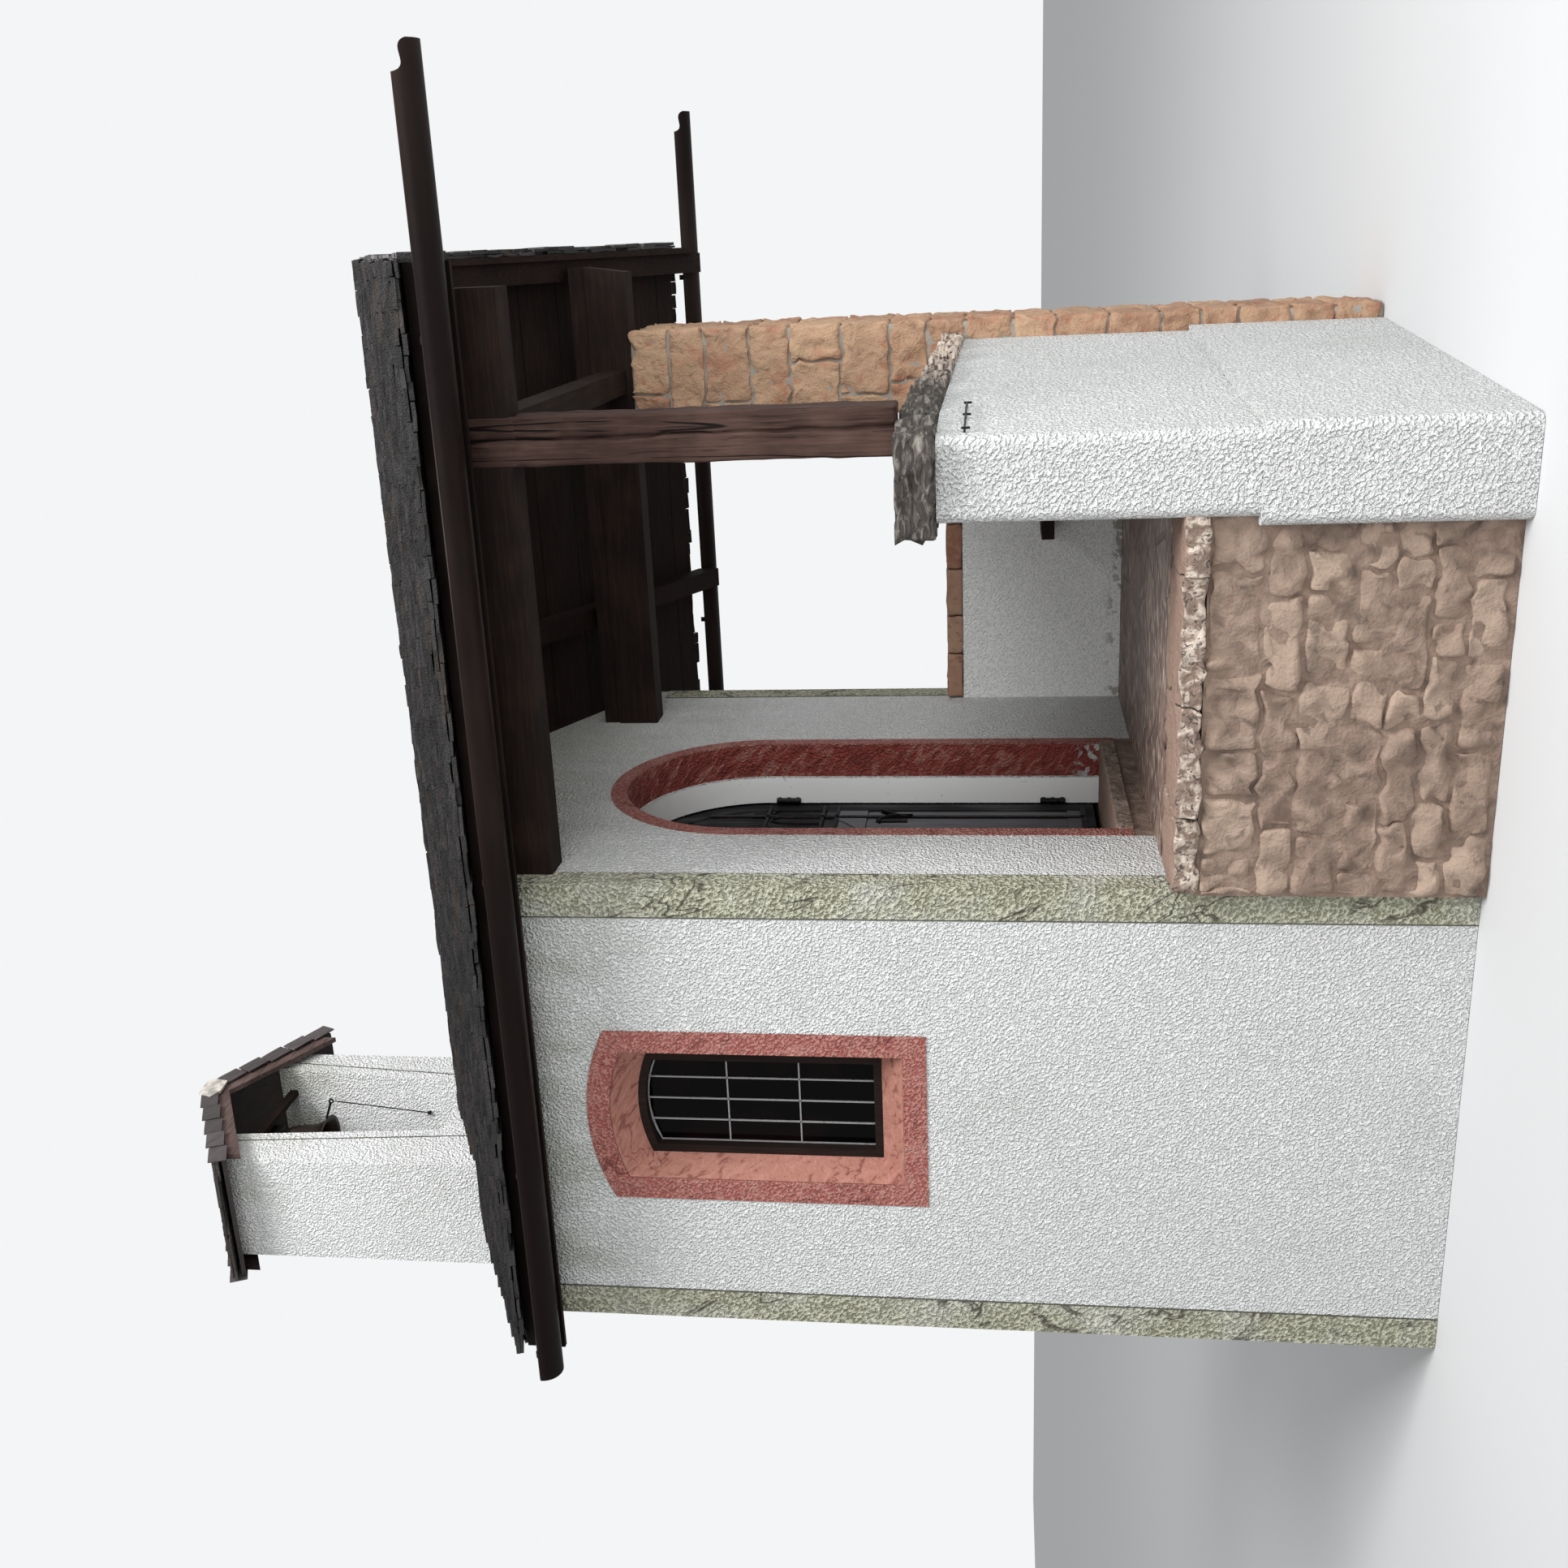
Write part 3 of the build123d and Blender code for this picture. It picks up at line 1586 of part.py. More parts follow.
# Yoke over the bell, and the iron lever with an eye that is riveted to its lip
with BuildPart() as bell_yoke:
    block(
        ridge_x - yoke_width,
        ridge_x + yoke_width,
        bell_y - yoke_depth,
        bell_y + yoke_depth,
        bell_lip_z + bell_height + crown_height,
        swing_z + 2 * yoke_pin,
    )
    with BuildSketch(at_y(bell_y + yoke_half)):
        with Locations((sx(ridge_x), swing_z)):
            Circle(yoke_pin)
    extrude(amount=2 * yoke_half)
    with BuildSketch(Plane(
        (
            sx(ridge_x),
            bell_y - bell_lip_radius - seat_gap * lever_reach / lever_length,
            bell_lip_z - seat_gap * lever_fall / lever_length,
        ),
        z_dir=(0, -lever_reach, -lever_fall),
    )):
        Circle(lever_radius)
    extrude(amount=lever_length - (eye_radius + eye_hole) / 2)
    with BuildSketch(at_x(ridge_x - eye_sheet / 2)):
        with Locations((eye_y, eye_z)):
            Circle(eye_radius)
            Circle(eye_hole, mode=Mode.SUBTRACT)
    extrude(amount=eye_sheet)
bell_yoke.part.label = "bell_yoke"
export_step(bell_yoke.part, "parts/bell_yoke.step")

# Bearings of the yoke pin, a block on the rear niche wall and a bar between the side walls
bearing_gap = 0.3
bar_half = niche_at(swing_z - bearing_half) - seat_gap
with BuildPart() as bell_bearings:
    block(
        ridge_x - 2 * bearing_half,
        ridge_x + 2 * bearing_half,
        bell_y + yoke_half + bearing_gap,
        turret_rear_y - turret_wall,
        swing_z - 2 * bearing_half,
        swing_z + 2 * bearing_half,
    )
    block(
        ridge_x - bar_half,
        ridge_x + bar_half,
        bell_y - yoke_half - bearing_gap - bearing_bar,
        bell_y - yoke_half - bearing_gap,
        swing_z - bearing_half,
        swing_z + bearing_half,
    )
bell_bearings.part.label = "bell_bearings"
export_step(bell_bearings.part, "parts/bell_bearings.step")

# Pull wire from under the lever to a staple in the far niche wall
wire_top_z = eye_z - eye_radius - wire_gap
staple_y = bell_y - staple_forward
staple_z = niche_bottom_z + staple_lift
staple_x = ridge_x + niche_at(staple_z - staple_half) - seat_gap
wire_low_x = staple_x - staple_half
wire_x = ridge_x - wire_low_x
wire_y = eye_y - staple_y
wire_z = wire_top_z - staple_z
with BuildPart() as pull_wire:
    with BuildSketch(Plane((sx(wire_low_x), staple_y, staple_z), z_dir=(wire_x, wire_y, wire_z))):
        Circle(wire_radius)
    extrude(amount=sqrt(wire_x * wire_x + wire_y * wire_y + wire_z * wire_z))
    block(
        staple_x - 2 * staple_half,
        staple_x,
        staple_y - staple_half,
        staple_y + staple_half,
        staple_z - staple_half,
        staple_z + staple_half,
    )
pull_wire.part.label = "pull_wire"
export_step(pull_wire.part, "parts/pull_wire.step")
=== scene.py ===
"""Finish and fine pieces of a small wayside chapel.

The walls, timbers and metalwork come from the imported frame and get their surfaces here.
Shingles, stone blocks, boards, bars and brackets are laid as meshes worked out with numpy.
All lengths are metres, in the frame's own axes: X to the far side wall, Y to the rear, Z up.
"""
import math

import bpy
import numpy as np
from mathutils import Matrix, Vector


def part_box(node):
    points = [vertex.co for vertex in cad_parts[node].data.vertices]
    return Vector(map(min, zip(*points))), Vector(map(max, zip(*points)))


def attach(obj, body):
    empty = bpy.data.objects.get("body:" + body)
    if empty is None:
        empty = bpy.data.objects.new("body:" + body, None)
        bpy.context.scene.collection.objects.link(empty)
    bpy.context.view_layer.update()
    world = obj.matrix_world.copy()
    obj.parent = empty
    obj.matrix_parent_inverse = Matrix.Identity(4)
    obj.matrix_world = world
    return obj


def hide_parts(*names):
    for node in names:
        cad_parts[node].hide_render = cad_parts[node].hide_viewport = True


bl_info = {
    "name": "Wayside chapel finish",
    "version": (1, 0, 0),
    "blender": (4, 5, 0),
    "location": "View3D > Sidebar > Chapel",
    "description": "Lays the shingles, stones and fittings of a small chapel and gives it its surfaces",
    "category": "Object",
}

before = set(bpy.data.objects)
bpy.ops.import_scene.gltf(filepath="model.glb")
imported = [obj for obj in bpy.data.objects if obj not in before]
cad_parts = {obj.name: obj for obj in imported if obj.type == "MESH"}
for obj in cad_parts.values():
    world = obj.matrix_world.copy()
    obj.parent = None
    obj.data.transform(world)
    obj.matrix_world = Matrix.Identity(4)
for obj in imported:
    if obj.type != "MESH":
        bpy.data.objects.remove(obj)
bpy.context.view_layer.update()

# Roof planes, read from the two shingle slabs of the frame
near_low, near_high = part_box("shingles_near")
far_low, far_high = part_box("shingles_far")
ridge_x = near_high.x
ridge_z = near_high.z
run_near = ridge_x - near_low.x
run_far = far_high.x - ridge_x
roof_angle = math.atan((near_low.z - far_low.z) / (run_far - run_near))
nave_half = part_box("wall_side_far")[1].x
portal_near_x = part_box("portal_jambs")[0].x
paving_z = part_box("platform_paving")[1].z
SIDES = ((-1, "near"), (1, "far"))


def linear(code):
    """Linear RGBA of an sRGB hex colour: c/12.92 below 0.04045, else ((c+0.055)/1.055) to the power 2.4."""
    channels = [int(code[i:i + 2], 16) / 255 for i in (0, 2, 4)]
    return [c / 12.92 if c <= 0.04045 else ((c + 0.055) / 1.055) ** 2.4 for c in channels] + [1.0]


def colour(label, code):
    """A colour property with its default from an sRGB hex code."""
    return bpy.props.FloatVectorProperty(
        name=label, description=label, subtype="COLOR", size=4, min=0, max=1, default=linear(code)
    )


def length(label, value):
    """A length property in metres."""
    return bpy.props.FloatProperty(
        name=label, description=label, subtype="DISTANCE", unit="LENGTH", min=0, default=value
    )


class ChapelSizes(bpy.types.PropertyGroup):
    """Sizes of what is laid on the frame."""

    exposure: length("Visible length of a roof shingle", 0.090)
    shingle_length: length("Whole length of a roof shingle", 0.30)
    shingle_width: length("Widest roof shingle", 0.125)
    shingle_sheet: length("Thickness of a roof shingle", 0.016)
    joint: length("Mortar joint between stone blocks", 0.010)
    plaster_grain: length("Size of a lump of the thrown plaster", 0.010)
    board_width: length("Width of a ceiling board", 0.17)
    window_bar: length("Width of a window bar", 0.006)


class ChapelColours(bpy.types.PropertyGroup):
    """Colours of the surfaces."""

    plaster: colour("White plaster", "EEEFEE")
    # Grey of bare plaster, also used as painted shade in the roughcast's hollows
    plaster_grey_and_hollow_shade: colour("Grey plaster, and painted shade in its hollows", "CFD1D1")
    plaster_stain: colour("Algae on plaster", "8E9077")
    band: colour("Painted corner band", "BCBCA6")
    # Painted shade in the hollows of the corner band's roughcast
    band_hollow_shade: colour("Painted shade in the corner band's hollows", "7F7E6A")
    band_vein: colour("Veins of the corner band", "453E34")
    red: colour("Red marbled paint", "8F4640")
    # Pale mottles and scratches in the red paint, also used as painted highlight on its lumps
    red_pale_and_lump_highlight: colour("Pale red paint, and painted highlight on its lumps", "B68579")
    # Deep red paint of the portal's reveal, darkened further as painted shade of the recess
    red_deep_and_reveal_shade: colour("Deep red reveal, darker as painted shade", "8A3A31")
    red_vein: colour("Veins in the red paint", "5E211C")
    pink: colour("Pink splay of a window", "9A685A")
    shingle: colour("Weathered shingle", "131112")
    shingle_pale: colour("Bleached shingle", "736D6E")
    timber: colour("Stained timber", "1B1311")
    timber_pale: colour("Worn stained timber", "35261F")
    post: colour("Post timber", "3A2A25")
    post_pale: colour("Bleached post timber", "5F4A42")
    # Both sandstone colours are the stone's own warm browns, darkened in part as painted shade, as the
    # pillar's top stands under the roof
    sandstone: colour("Warm sandstone", "8D6953")
    sandstone_pale: colour("Pale sandstone", "B09175")
    mortar: colour("Mortar", "918A80")
    slab: colour("Broken slab face", "7D6A5E")
    slab_pale: colour("Bleached slab face", "CBBDAF")
    flag: colour("Porch flagstone", "675047")
    flag_pale: colour("Worn flagstone", "8F7668")
    rubble: colour("Rubble stone", "7A665A")
    moss: colour("Mossy coping", "3A3430")
    lichen: colour("Lichen", "8D8880")
    brick: colour("Cap brick", "84503E")
    door_panel: colour("Grey door panel", "68686C")
    # Black paint of the door, also painted shade where its upper part lets the dark room show through
    door_dark_and_room_shade: colour("Door frame, and painted shade of the room behind", "202022")
    sheet: colour("Brown gutter sheet", "160F0E")
    iron: colour("Forged iron", "151414")
    bronze: colour("Dark bronze", "2B211B")
    turret_shingle: colour("Turret shingle", "5F4F4C")
    turret_board: colour("Turret board", "4C3D3A")
    zinc: colour("Pale zinc", "CFC8BF")
    floor: colour("Studio floor", "C9CACB")


# Large primes that scatter the lattice's indices over the table of random numbers
PRIMES = (73856093, 19349663, 83492791)


def smooth_noise(points, cell, seed):
    """Smooth random field from -1 to 1.

    Random numbers stand on a cubic lattice of the given cell, and a point blends the eight
    around it with the weights 3t^2 - 2t^3 of its place t in the cell.
    """
    table = np.random.default_rng(seed).random(4096) * 2 - 1
    base = np.floor(points / cell).astype(np.int64)
    t = points / cell - base
    t = t * t * (3 - 2 * t)
    total = np.zeros(points.shape[:-1])
    for corner in np.ndindex(2, 2, 2):
        key = np.bitwise_xor.reduce((base + corner) * PRIMES, axis=-1) & (len(table) - 1)
        total += table[key] * np.prod(np.where(np.array(corner) == 1, t, 1 - t), axis=-1)
    return total


def cube_surface(cells):
    """Closed grid on the cube from -1 to 1 with (a, b, c) cells along X, Y, Z, faces outwards.

    Grid lines stand at sin(pi t / 2), so that they crowd towards the edges.
    """
    points, faces, count = [], [], 0
    for axis in range(3):
        u, v = (axis + 1) % 3, (axis + 2) % 3
        line_u = np.sin(np.linspace(-1, 1, cells[u] + 1) * math.pi / 2)
        line_v = np.sin(np.linspace(-1, 1, cells[v] + 1) * math.pi / 2)
        grid_u, grid_v = np.meshgrid(line_u, line_v, indexing="ij")
        index = np.arange(grid_u.size).reshape(grid_u.shape)
        quad = np.stack([index[:-1, :-1], index[1:, :-1], index[1:, 1:], index[:-1, 1:]], -1).reshape(-1, 4)
        for side in (1, -1):
            face = np.zeros((grid_u.size, 3))
            face[:, axis] = side
            face[:, u] = grid_u.ravel()
            face[:, v] = grid_v.ravel()
            points.append(face)
            faces.append((quad if side > 0 else quad[:, ::-1]) + count)
            count += len(face)
    merged, back = np.unique(np.round(np.concatenate(points), 6), axis=0, return_inverse=True)
    return merged, back.reshape(-1)[np.concatenate(faces)]


def blocks(centres, sizes, turns=None, radius=0.0, cells=(1, 1, 1), rough=0.0, grain=0.04, seed=1):
    """Rounded blocks, one for each centre and size.

    A point p of the cube is scaled to the block and drawn in to q, the block less its radius,
    then set at q + r (p - q) / |p - q|. Three smooth random fields then shift each point by
    up to rough, so that neighbours of one block move together. A turn that mirrors a block has
    its faces reversed, so that they still point outwards. Returns the points, the faces and the
    number of the block that each point belongs to.
    """
    cube, faces = cube_surface(cells)
    half = np.asarray(sizes, float)[:, None, :] / 2
    p = cube[None] * half
    if radius:
        edge = np.minimum(radius, half.min(axis=2, keepdims=True) * 0.9)
        q = np.clip(p, -(half - edge), half - edge)
        d = p - q
        p = q + edge * d / np.maximum(np.linalg.norm(d, axis=2, keepdims=True), 1e-9)
    faces = faces[None] + np.arange(len(p))[:, None, None] * len(cube)
    if turns is not None:
        turns = np.broadcast_to(turns, (len(p), 3, 3))
        p = np.einsum("nij,nvj->nvi", turns, p)
        mirrored = np.linalg.det(turns) < 0
        faces[mirrored] = faces[mirrored][..., ::-1]
    p = p + np.asarray(centres, float)[:, None, :]
    if rough:
        fields = [smooth_noise(p, grain, seed + k) for k in range(3)]
        p = p + rough * np.stack(fields, axis=-1)
    return p.reshape(-1, 3), faces.reshape(-1, 4).tolist(), np.repeat(np.arange(len(p)), len(cube))


def sweep(path, profile, up=(0.0, 0.0, 1.0), closed=False):
    """A flat profile carried along a path.

    At each point of the path the profile lies across it: its first number runs along
    up x tangent, its second along tangent x (up x tangent).
    """
    path, profile = np.asarray(path, float), np.asarray(profile, float)
    ahead, behind = np.roll(path, -1, axis=0), np.roll(path, 1, axis=0)
    if not closed:
        ahead[-1], behind[0] = path[-1], path[0]
    tangent = ahead - behind
    tangent /= np.linalg.norm(tangent, axis=1, keepdims=True)
    side = np.cross(np.asarray(up, float), tangent)
    side /= np.linalg.norm(side, axis=1, keepdims=True)
    rise = np.cross(tangent, side)
    rings = path[:, None] + profile[None, :, :1] * side[:, None] + profile[None, :, 1:] * rise[:, None]
    k, m = len(profile), len(path)
    ring = np.arange(m if closed else m - 1)[:, None]
    i = np.arange(k)[None]
    nxt, j = (ring + 1) % m, (i + 1) % k
    faces = np.stack([ring * k + i, ring * k + j, nxt * k + j, nxt * k + i], -1).reshape(-1, 4).tolist()
    if not closed:
        faces += [list(range(k))[::-1], list(range((m - 1) * k, m * k))]
    return rings.reshape(-1, 3), faces


def at_depth(x, y, z):
    """A path's points from its X and Z, all at one Y."""
    return np.stack([x, np.full(len(x), y), z], axis=1)


def circle(radius, sides=8):
    """Corners of a regular polygon: radius times (cos a, sin a)."""
    a = np.arange(sides) * 2 * math.pi / sides
    return np.stack([np.cos(a), np.sin(a)], axis=1) * radius


def strip(width, height):
    """Corners of a flat bar's section."""
    return np.array([(1, 1), (-1, 1), (-1, -1), (1, -1)]) * (width / 2, height / 2)


def joined(parts):
    """Several shapes, each starting with points and faces, as one."""
    points, faces, count = [], [], 0
    for shape in parts:
        points.append(shape[0])
        faces += [[v + count for v in face] for face in shape[1]]
        count += len(shape[0])
    return np.concatenate(points), faces


def piece(name, shape, finish, seed=None, body="chapel", replaces=(), smooth=True, tone=None):
    """Makes a mesh object in the frame, rides it on its body and hides the frame's parts that it replaces.

    The shape starts with points and faces. The tone is one number for each point, and with a
    seed each block of the shape gets its own at random.
    """
    mesh = bpy.data.meshes.new(name)
    mesh.from_pydata(shape[0], [], shape[1])
    if seed is not None:
        tone = tones(shape[2], seed)
    if tone is not None:
        mesh.attributes.new("tone", "FLOAT", "POINT").data.foreach_set("value", np.asarray(tone, np.float32))
    mesh.polygons.foreach_set("use_smooth", np.full(len(mesh.polygons), smooth))
    mesh.materials.append(MATERIALS[finish])
    mesh.update()
    obj = bpy.data.objects.new(name, mesh)
    bpy.context.scene.collection.objects.link(obj)
    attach(obj, body)
    if replaces:
        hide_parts(*replaces)


def tones(owner, seed):
    """One random number from 0 to 1 for each block, given to all its points."""
    return np.random.default_rng(seed).random(int(owner.max()) + 1)[owner]


# Finishes

# The shader nodes by the short words that the finishes use, with their settings
NODES = {
    "noise": ("TexNoise", {}),
    "cells": ("TexVoronoi", {}),
    "cell edges": ("TexVoronoi", {"feature": "DISTANCE_TO_EDGE"}),
    "map": ("Mapping", {}),
    "split": ("SeparateXYZ", {}),
    "tone": ("Attribute", {"attribute_name": "tone"}),
    "rise": ("MapRange", {"interpolation_type": "SMOOTHSTEP"}),
    "mix": ("MixRGB", {}),
    "times": ("Math", {"operation": "MULTIPLY"}),
    "over": ("Math", {"operation": "DIVIDE"}),
    "plus": ("Math", {"operation": "ADD"}),
    "less": ("Math", {"operation": "SUBTRACT"}),
    "power": ("Math", {"operation": "POWER"}),
    "greater": ("Math", {"operation": "MAXIMUM"}),
    "size": ("Math", {"operation": "ABSOLUTE"}),
    "fraction": ("Math", {"operation": "FRACT"}),
}

# Near blacks: the first two are painted shade, of what lies deep or faces down, and the others dark joints
# and grain
DEEP_SHADE = (0.006, 0.005, 0.005, 1)
CRACK_SHADE = (0.006, 0.004, 0.004, 1)
BOARD_JOINT = (0.004, 0.003, 0.003, 1)
SHINGLE_GRAIN = (0.01, 0.009, 0.009, 1)
TIMBER_GRAIN = (0.008, 0.006, 0.005, 1)
# The height, from 0 to 1, that floated plaster has among the lumps
FLOATED = (0.62, 0.62, 0.62, 1)


def add(tree, kind, *values, out=0, **named):
    """Adds one shader node and returns one of its outputs; values go to its inputs in order or by name."""
    kind, settings = NODES.get(kind, (kind, {}))
    node = tree.nodes.new("ShaderNode" + kind)
    for key, value in settings.items():
        setattr(node, key, value)
    for key, value in [*enumerate(values), *named.items()]:
        socket = node.inputs[key]
        if isinstance(value, bpy.types.NodeSocket):
            tree.links.new(value, socket)
        else:
            socket.default_value = value
    return node.outputs[out]


class Finish:
    """A material in the making. Its patterns stand on Object coordinates, so their sizes are metres."""

    def __init__(self, name, roughness, metallic=0.0, specular=0.5):
        self.material = bpy.data.materials.new(name)
        self.material.use_nodes = True
        self.shader = self.material.node_tree.nodes["Principled BSDF"].inputs
        self.shader["Roughness"].default_value = roughness
        self.shader["Metallic"].default_value = metallic
        self.shader["Specular IOR Level"].default_value = specular
        self.place = self.add("TexCoord", out="Object")
        self.x, self.y, self.z = (self.add("split", self.place, out=axis) for axis in "XYZ")

    def add(self, kind, *values, **named):
        """Adds one node to this material."""
        return add(self.material.node_tree, kind, *values, **named)

    def cloud(self, size, low, high, detail=3.0, stretch=(1, 1, 1)):
        """A soft mask from 0 to 1: noise of the given size in metres, cut between low and high."""
        noise = self.add("noise", self.add("map", self.place, Scale=stretch), Scale=1 / size, Detail=detail)
        return self.add("rise", noise, low, high)

    def slanted(self, turn, stretch):
        """Coordinates turned first and then stretched, so that a pattern runs out along the slant."""
        return self.add("map", self.add("map", self.place, Rotation=turn), Scale=stretch)

    def line(self, field, width, soft):
        """A mask of thin lines: 1 where the field crosses 0.5, and 0 past the width on either side."""
        return self.add("rise", self.add("size", self.add("less", field, 0.5)), width, soft)

    def cracks(self, size, width, turn, share):
        """Thin lines where a noise drawn out on the slant crosses its middle; a broader one keeps a share."""
        noise = self.add("noise", self.slanted(turn, (1, 1, 0.3)), Scale=1 / size, Detail=3.0, Distortion=0.9)
        kept = self.cloud(size * 2.2, 1 - share, 1 - share + 0.08, 1.0)
        return self.add("times", self.line(noise, width, 0.0), kept)

    def thrown_grain(self, size):
        """Height of thrown plaster: round lumps that run together, with finer grit on them."""
        slant = self.slanted((0.9, 0.9, 0), (1, 1, 0.7))
        lumps = self.add("noise", slant, Scale=1 / size, Detail=1.5, Distortion=0.1)
        grit = self.add("noise", self.place, Scale=3.0 / size, Detail=2.0)
        return self.add("plus", self.add("rise", lumps, 0.30, 0.72), self.add("times", grit, 0.3))

    def coat(self, base, colour, mask, share=1.0):
        """Lays a colour on the base by a share of a mask."""
        return self.add("mix", self.add("times", mask, share), base, colour)

    def done(self, base, height, depth):
        """Links the colour and a bump of the given depth in metres, and hands out the material."""
        bump = self.add("Bump", Strength=1.0, Distance=depth, Height=height)
        self.material.node_tree.links.new(base, self.shader["Base Color"])
        self.material.node_tree.links.new(bump, self.shader["Normal"])
        return self.material


def lime_roughcast(name, c, size, stain, depth, chipped=False, smooth_past=None):
    """Lime plaster thrown on with a trowel and limewashed: matt white lumps, their hollows greyed as painted
    shade.

    Algae darken it towards the eaves, between the two heights of stain; on the porch wall this
    darkening up under the porch roof is partly painted shade. Past a depth along Y the reveal of
    the doorway is floated smooth.
    """
    f = Finish(name, 0.9)
    height = f.thrown_grain(size)
    if smooth_past is not None:
        flat = f.add("rise", f.y, smooth_past, smooth_past + 0.004)
        flat = f.add("times", flat, f.add("rise", f.x, portal_near_x - 0.008, portal_near_x + 0.002))
        height = f.add("mix", flat, height, FLOATED)
    # Painted shade: the plaster is mixed towards grey where the lumps' height is low
    base = f.add("mix", f.add("rise", height, 0.12, 0.60), c.plaster_grey_and_hollow_shade, c.plaster)
    base = f.coat(base, c.plaster_stain, f.cloud(0.55, 0.48, 0.8), 0.10)
    ragged = f.add("times", f.cloud(0.20, 0.3, 0.7, 4.0, (1, 1, 0.35)), 0.30)
    # Between the two heights the plaster turns green and dark: algae, and on the porch wall partly painted
    # shade
    damp = f.add("rise", f.add("plus", f.z, ragged), *stain)
    damp = f.add("times", damp, f.add("less", 1.0, f.add("times", height, 0.30)))
    base = f.coat(base, c.plaster_stain, damp, 0.75)
    base = f.coat(base, c.mortar, f.cloud(0.030, 0.74, 0.78, 1.0), 0.30)
    if chipped:
        # Only the porch side has lost flakes, within a hand of the paving
        foot = f.add("times", f.add("rise", f.z, paving_z + 0.093, paving_z + 0.023),
                     f.add("rise", f.x, nave_half - 0.10, nave_half - 0.14))
        base = f.coat(base, c.mortar, f.add("times", foot, f.cloud(0.09, 0.52, 0.58, 4.0)), 0.8)
    return f.done(base, height, depth)


def marbled_band(name, c):
    """Roughcast painted grey green with a few dark slanting veins, to look like hewn stone, its hollows
    darkened as painted shade.
    """
    f = Finish(name, 0.88)
    grain = f.thrown_grain(0.014)
    # Painted shade: the band is darker where the grain's height is low
    base = f.add("mix", f.add("rise", grain, 0.15, 0.85), c.band_hollow_shade, c.band)
    base = f.coat(base, c.plaster, f.cloud(0.30, 0.45, 0.75), 0.30)
    vein = f.cracks(0.16, 0.026, (0.45, 0.35, 0), 0.55)
    base = f.coat(base, c.band_vein, vein, 0.85)
    base = f.coat(base, c.flag, f.cloud(0.18, 0.66, 0.76), 0.25)
    return f.done(base, f.add("less", grain, f.add("times", vein, 0.5)), 0.017)


def marbled_red(name, c, across, face, inner, inner_depth, scratch, depth=0.008, chips=None):
    """Plaster painted as red marble: rough on the face, drawn in long strokes in the reveal. On the face
    the lumps are paler as painted highlight and the hollows redder as painted shade.

    The face lies where the size of the coordinate across it passes from the first value to the
    second, and before that the paint is the inner colour. Chips fall off the reveal at its foot.
    """
    f = Finish(name, 0.72)
    grain = f.thrown_grain(0.011)
    # Painted light: the face is pale on its lumps and red in its hollows, by the grain's height
    rough = f.coat(c.red, c.red_pale_and_lump_highlight, f.add("rise", grain, 0.15, 1.15), 0.75)
    rough = f.coat(rough, c.red_pale_and_lump_highlight, f.cloud(0.11, 0.48, 0.70), 0.45)
    strokes = f.add("noise", f.slanted((0.8, 0.3, 0), (1, 1, 0.25)), Scale=26.0, Detail=6.0, Distortion=1.0)
    calm = f.coat(inner, c.red_pale_and_lump_highlight, f.add("rise", strokes, 0.50, 0.66), scratch)
    calm = f.coat(calm, c.red_vein, f.add("rise", strokes, 0.46, 0.34), 0.6)
    outer = f.add("rise", f.add("size", f.add("split", f.place, out=across)), *face)
    base = f.add("mix", outer, calm, rough)
    base = f.coat(base, c.red_vein, f.cracks(0.13, 0.020, (0.6, -0.5, 0.3), 0.56), 0.75)
    if chips is not None:
        worn = f.add("times", f.add("rise", f.z, chips + 0.15, chips + 0.03), f.cloud(0.045, 0.52, 0.58, 4.0))
        base = f.coat(base, c.plaster_grey_and_hollow_shade, f.add("times", worn, f.add("less", 1.0, outer)), 0.9)
    share = f.add("plus", f.add("times", outer, 1 - inner_depth), inner_depth)
    height = f.add("plus", grain, f.add("times", strokes, 1.5))
    return f.done(base, f.add("times", height, share), depth)


def split_shingle(name, dark, pale, slope_turn, moss):
    """Split larch left to the weather: grey brown with fine grain down the slope, each piece its own tone,
    and faces that don't face up darkened as painted shade.
    """
    f = Finish(name, 0.62)
    grain = f.add("noise", f.slanted(slope_turn, (0.06, 1, 1)), Scale=170.0, Detail=3.0)
    base = f.coat(dark, pale, f.add("power", f.add("tone", out="Fac"), 1.5), 0.95)
    base = f.coat(base, SHINGLE_GRAIN, f.add("rise", grain, 0.62, 0.35), 0.55)
    # Painted shade: the butts and the undersides, which don't face up, turn near black
    upward = f.add("split", f.add("NewGeometry", out="Normal"), out="Z")
    base = f.coat(base, DEEP_SHADE, f.add("rise", upward, 0.6, 0.3), 0.8)
    base = f.coat(base, linear("5B4A33"), f.cloud(0.30, 0.55, 0.72, 4.0), moss)
    return f.done(base, grain, 0.004)


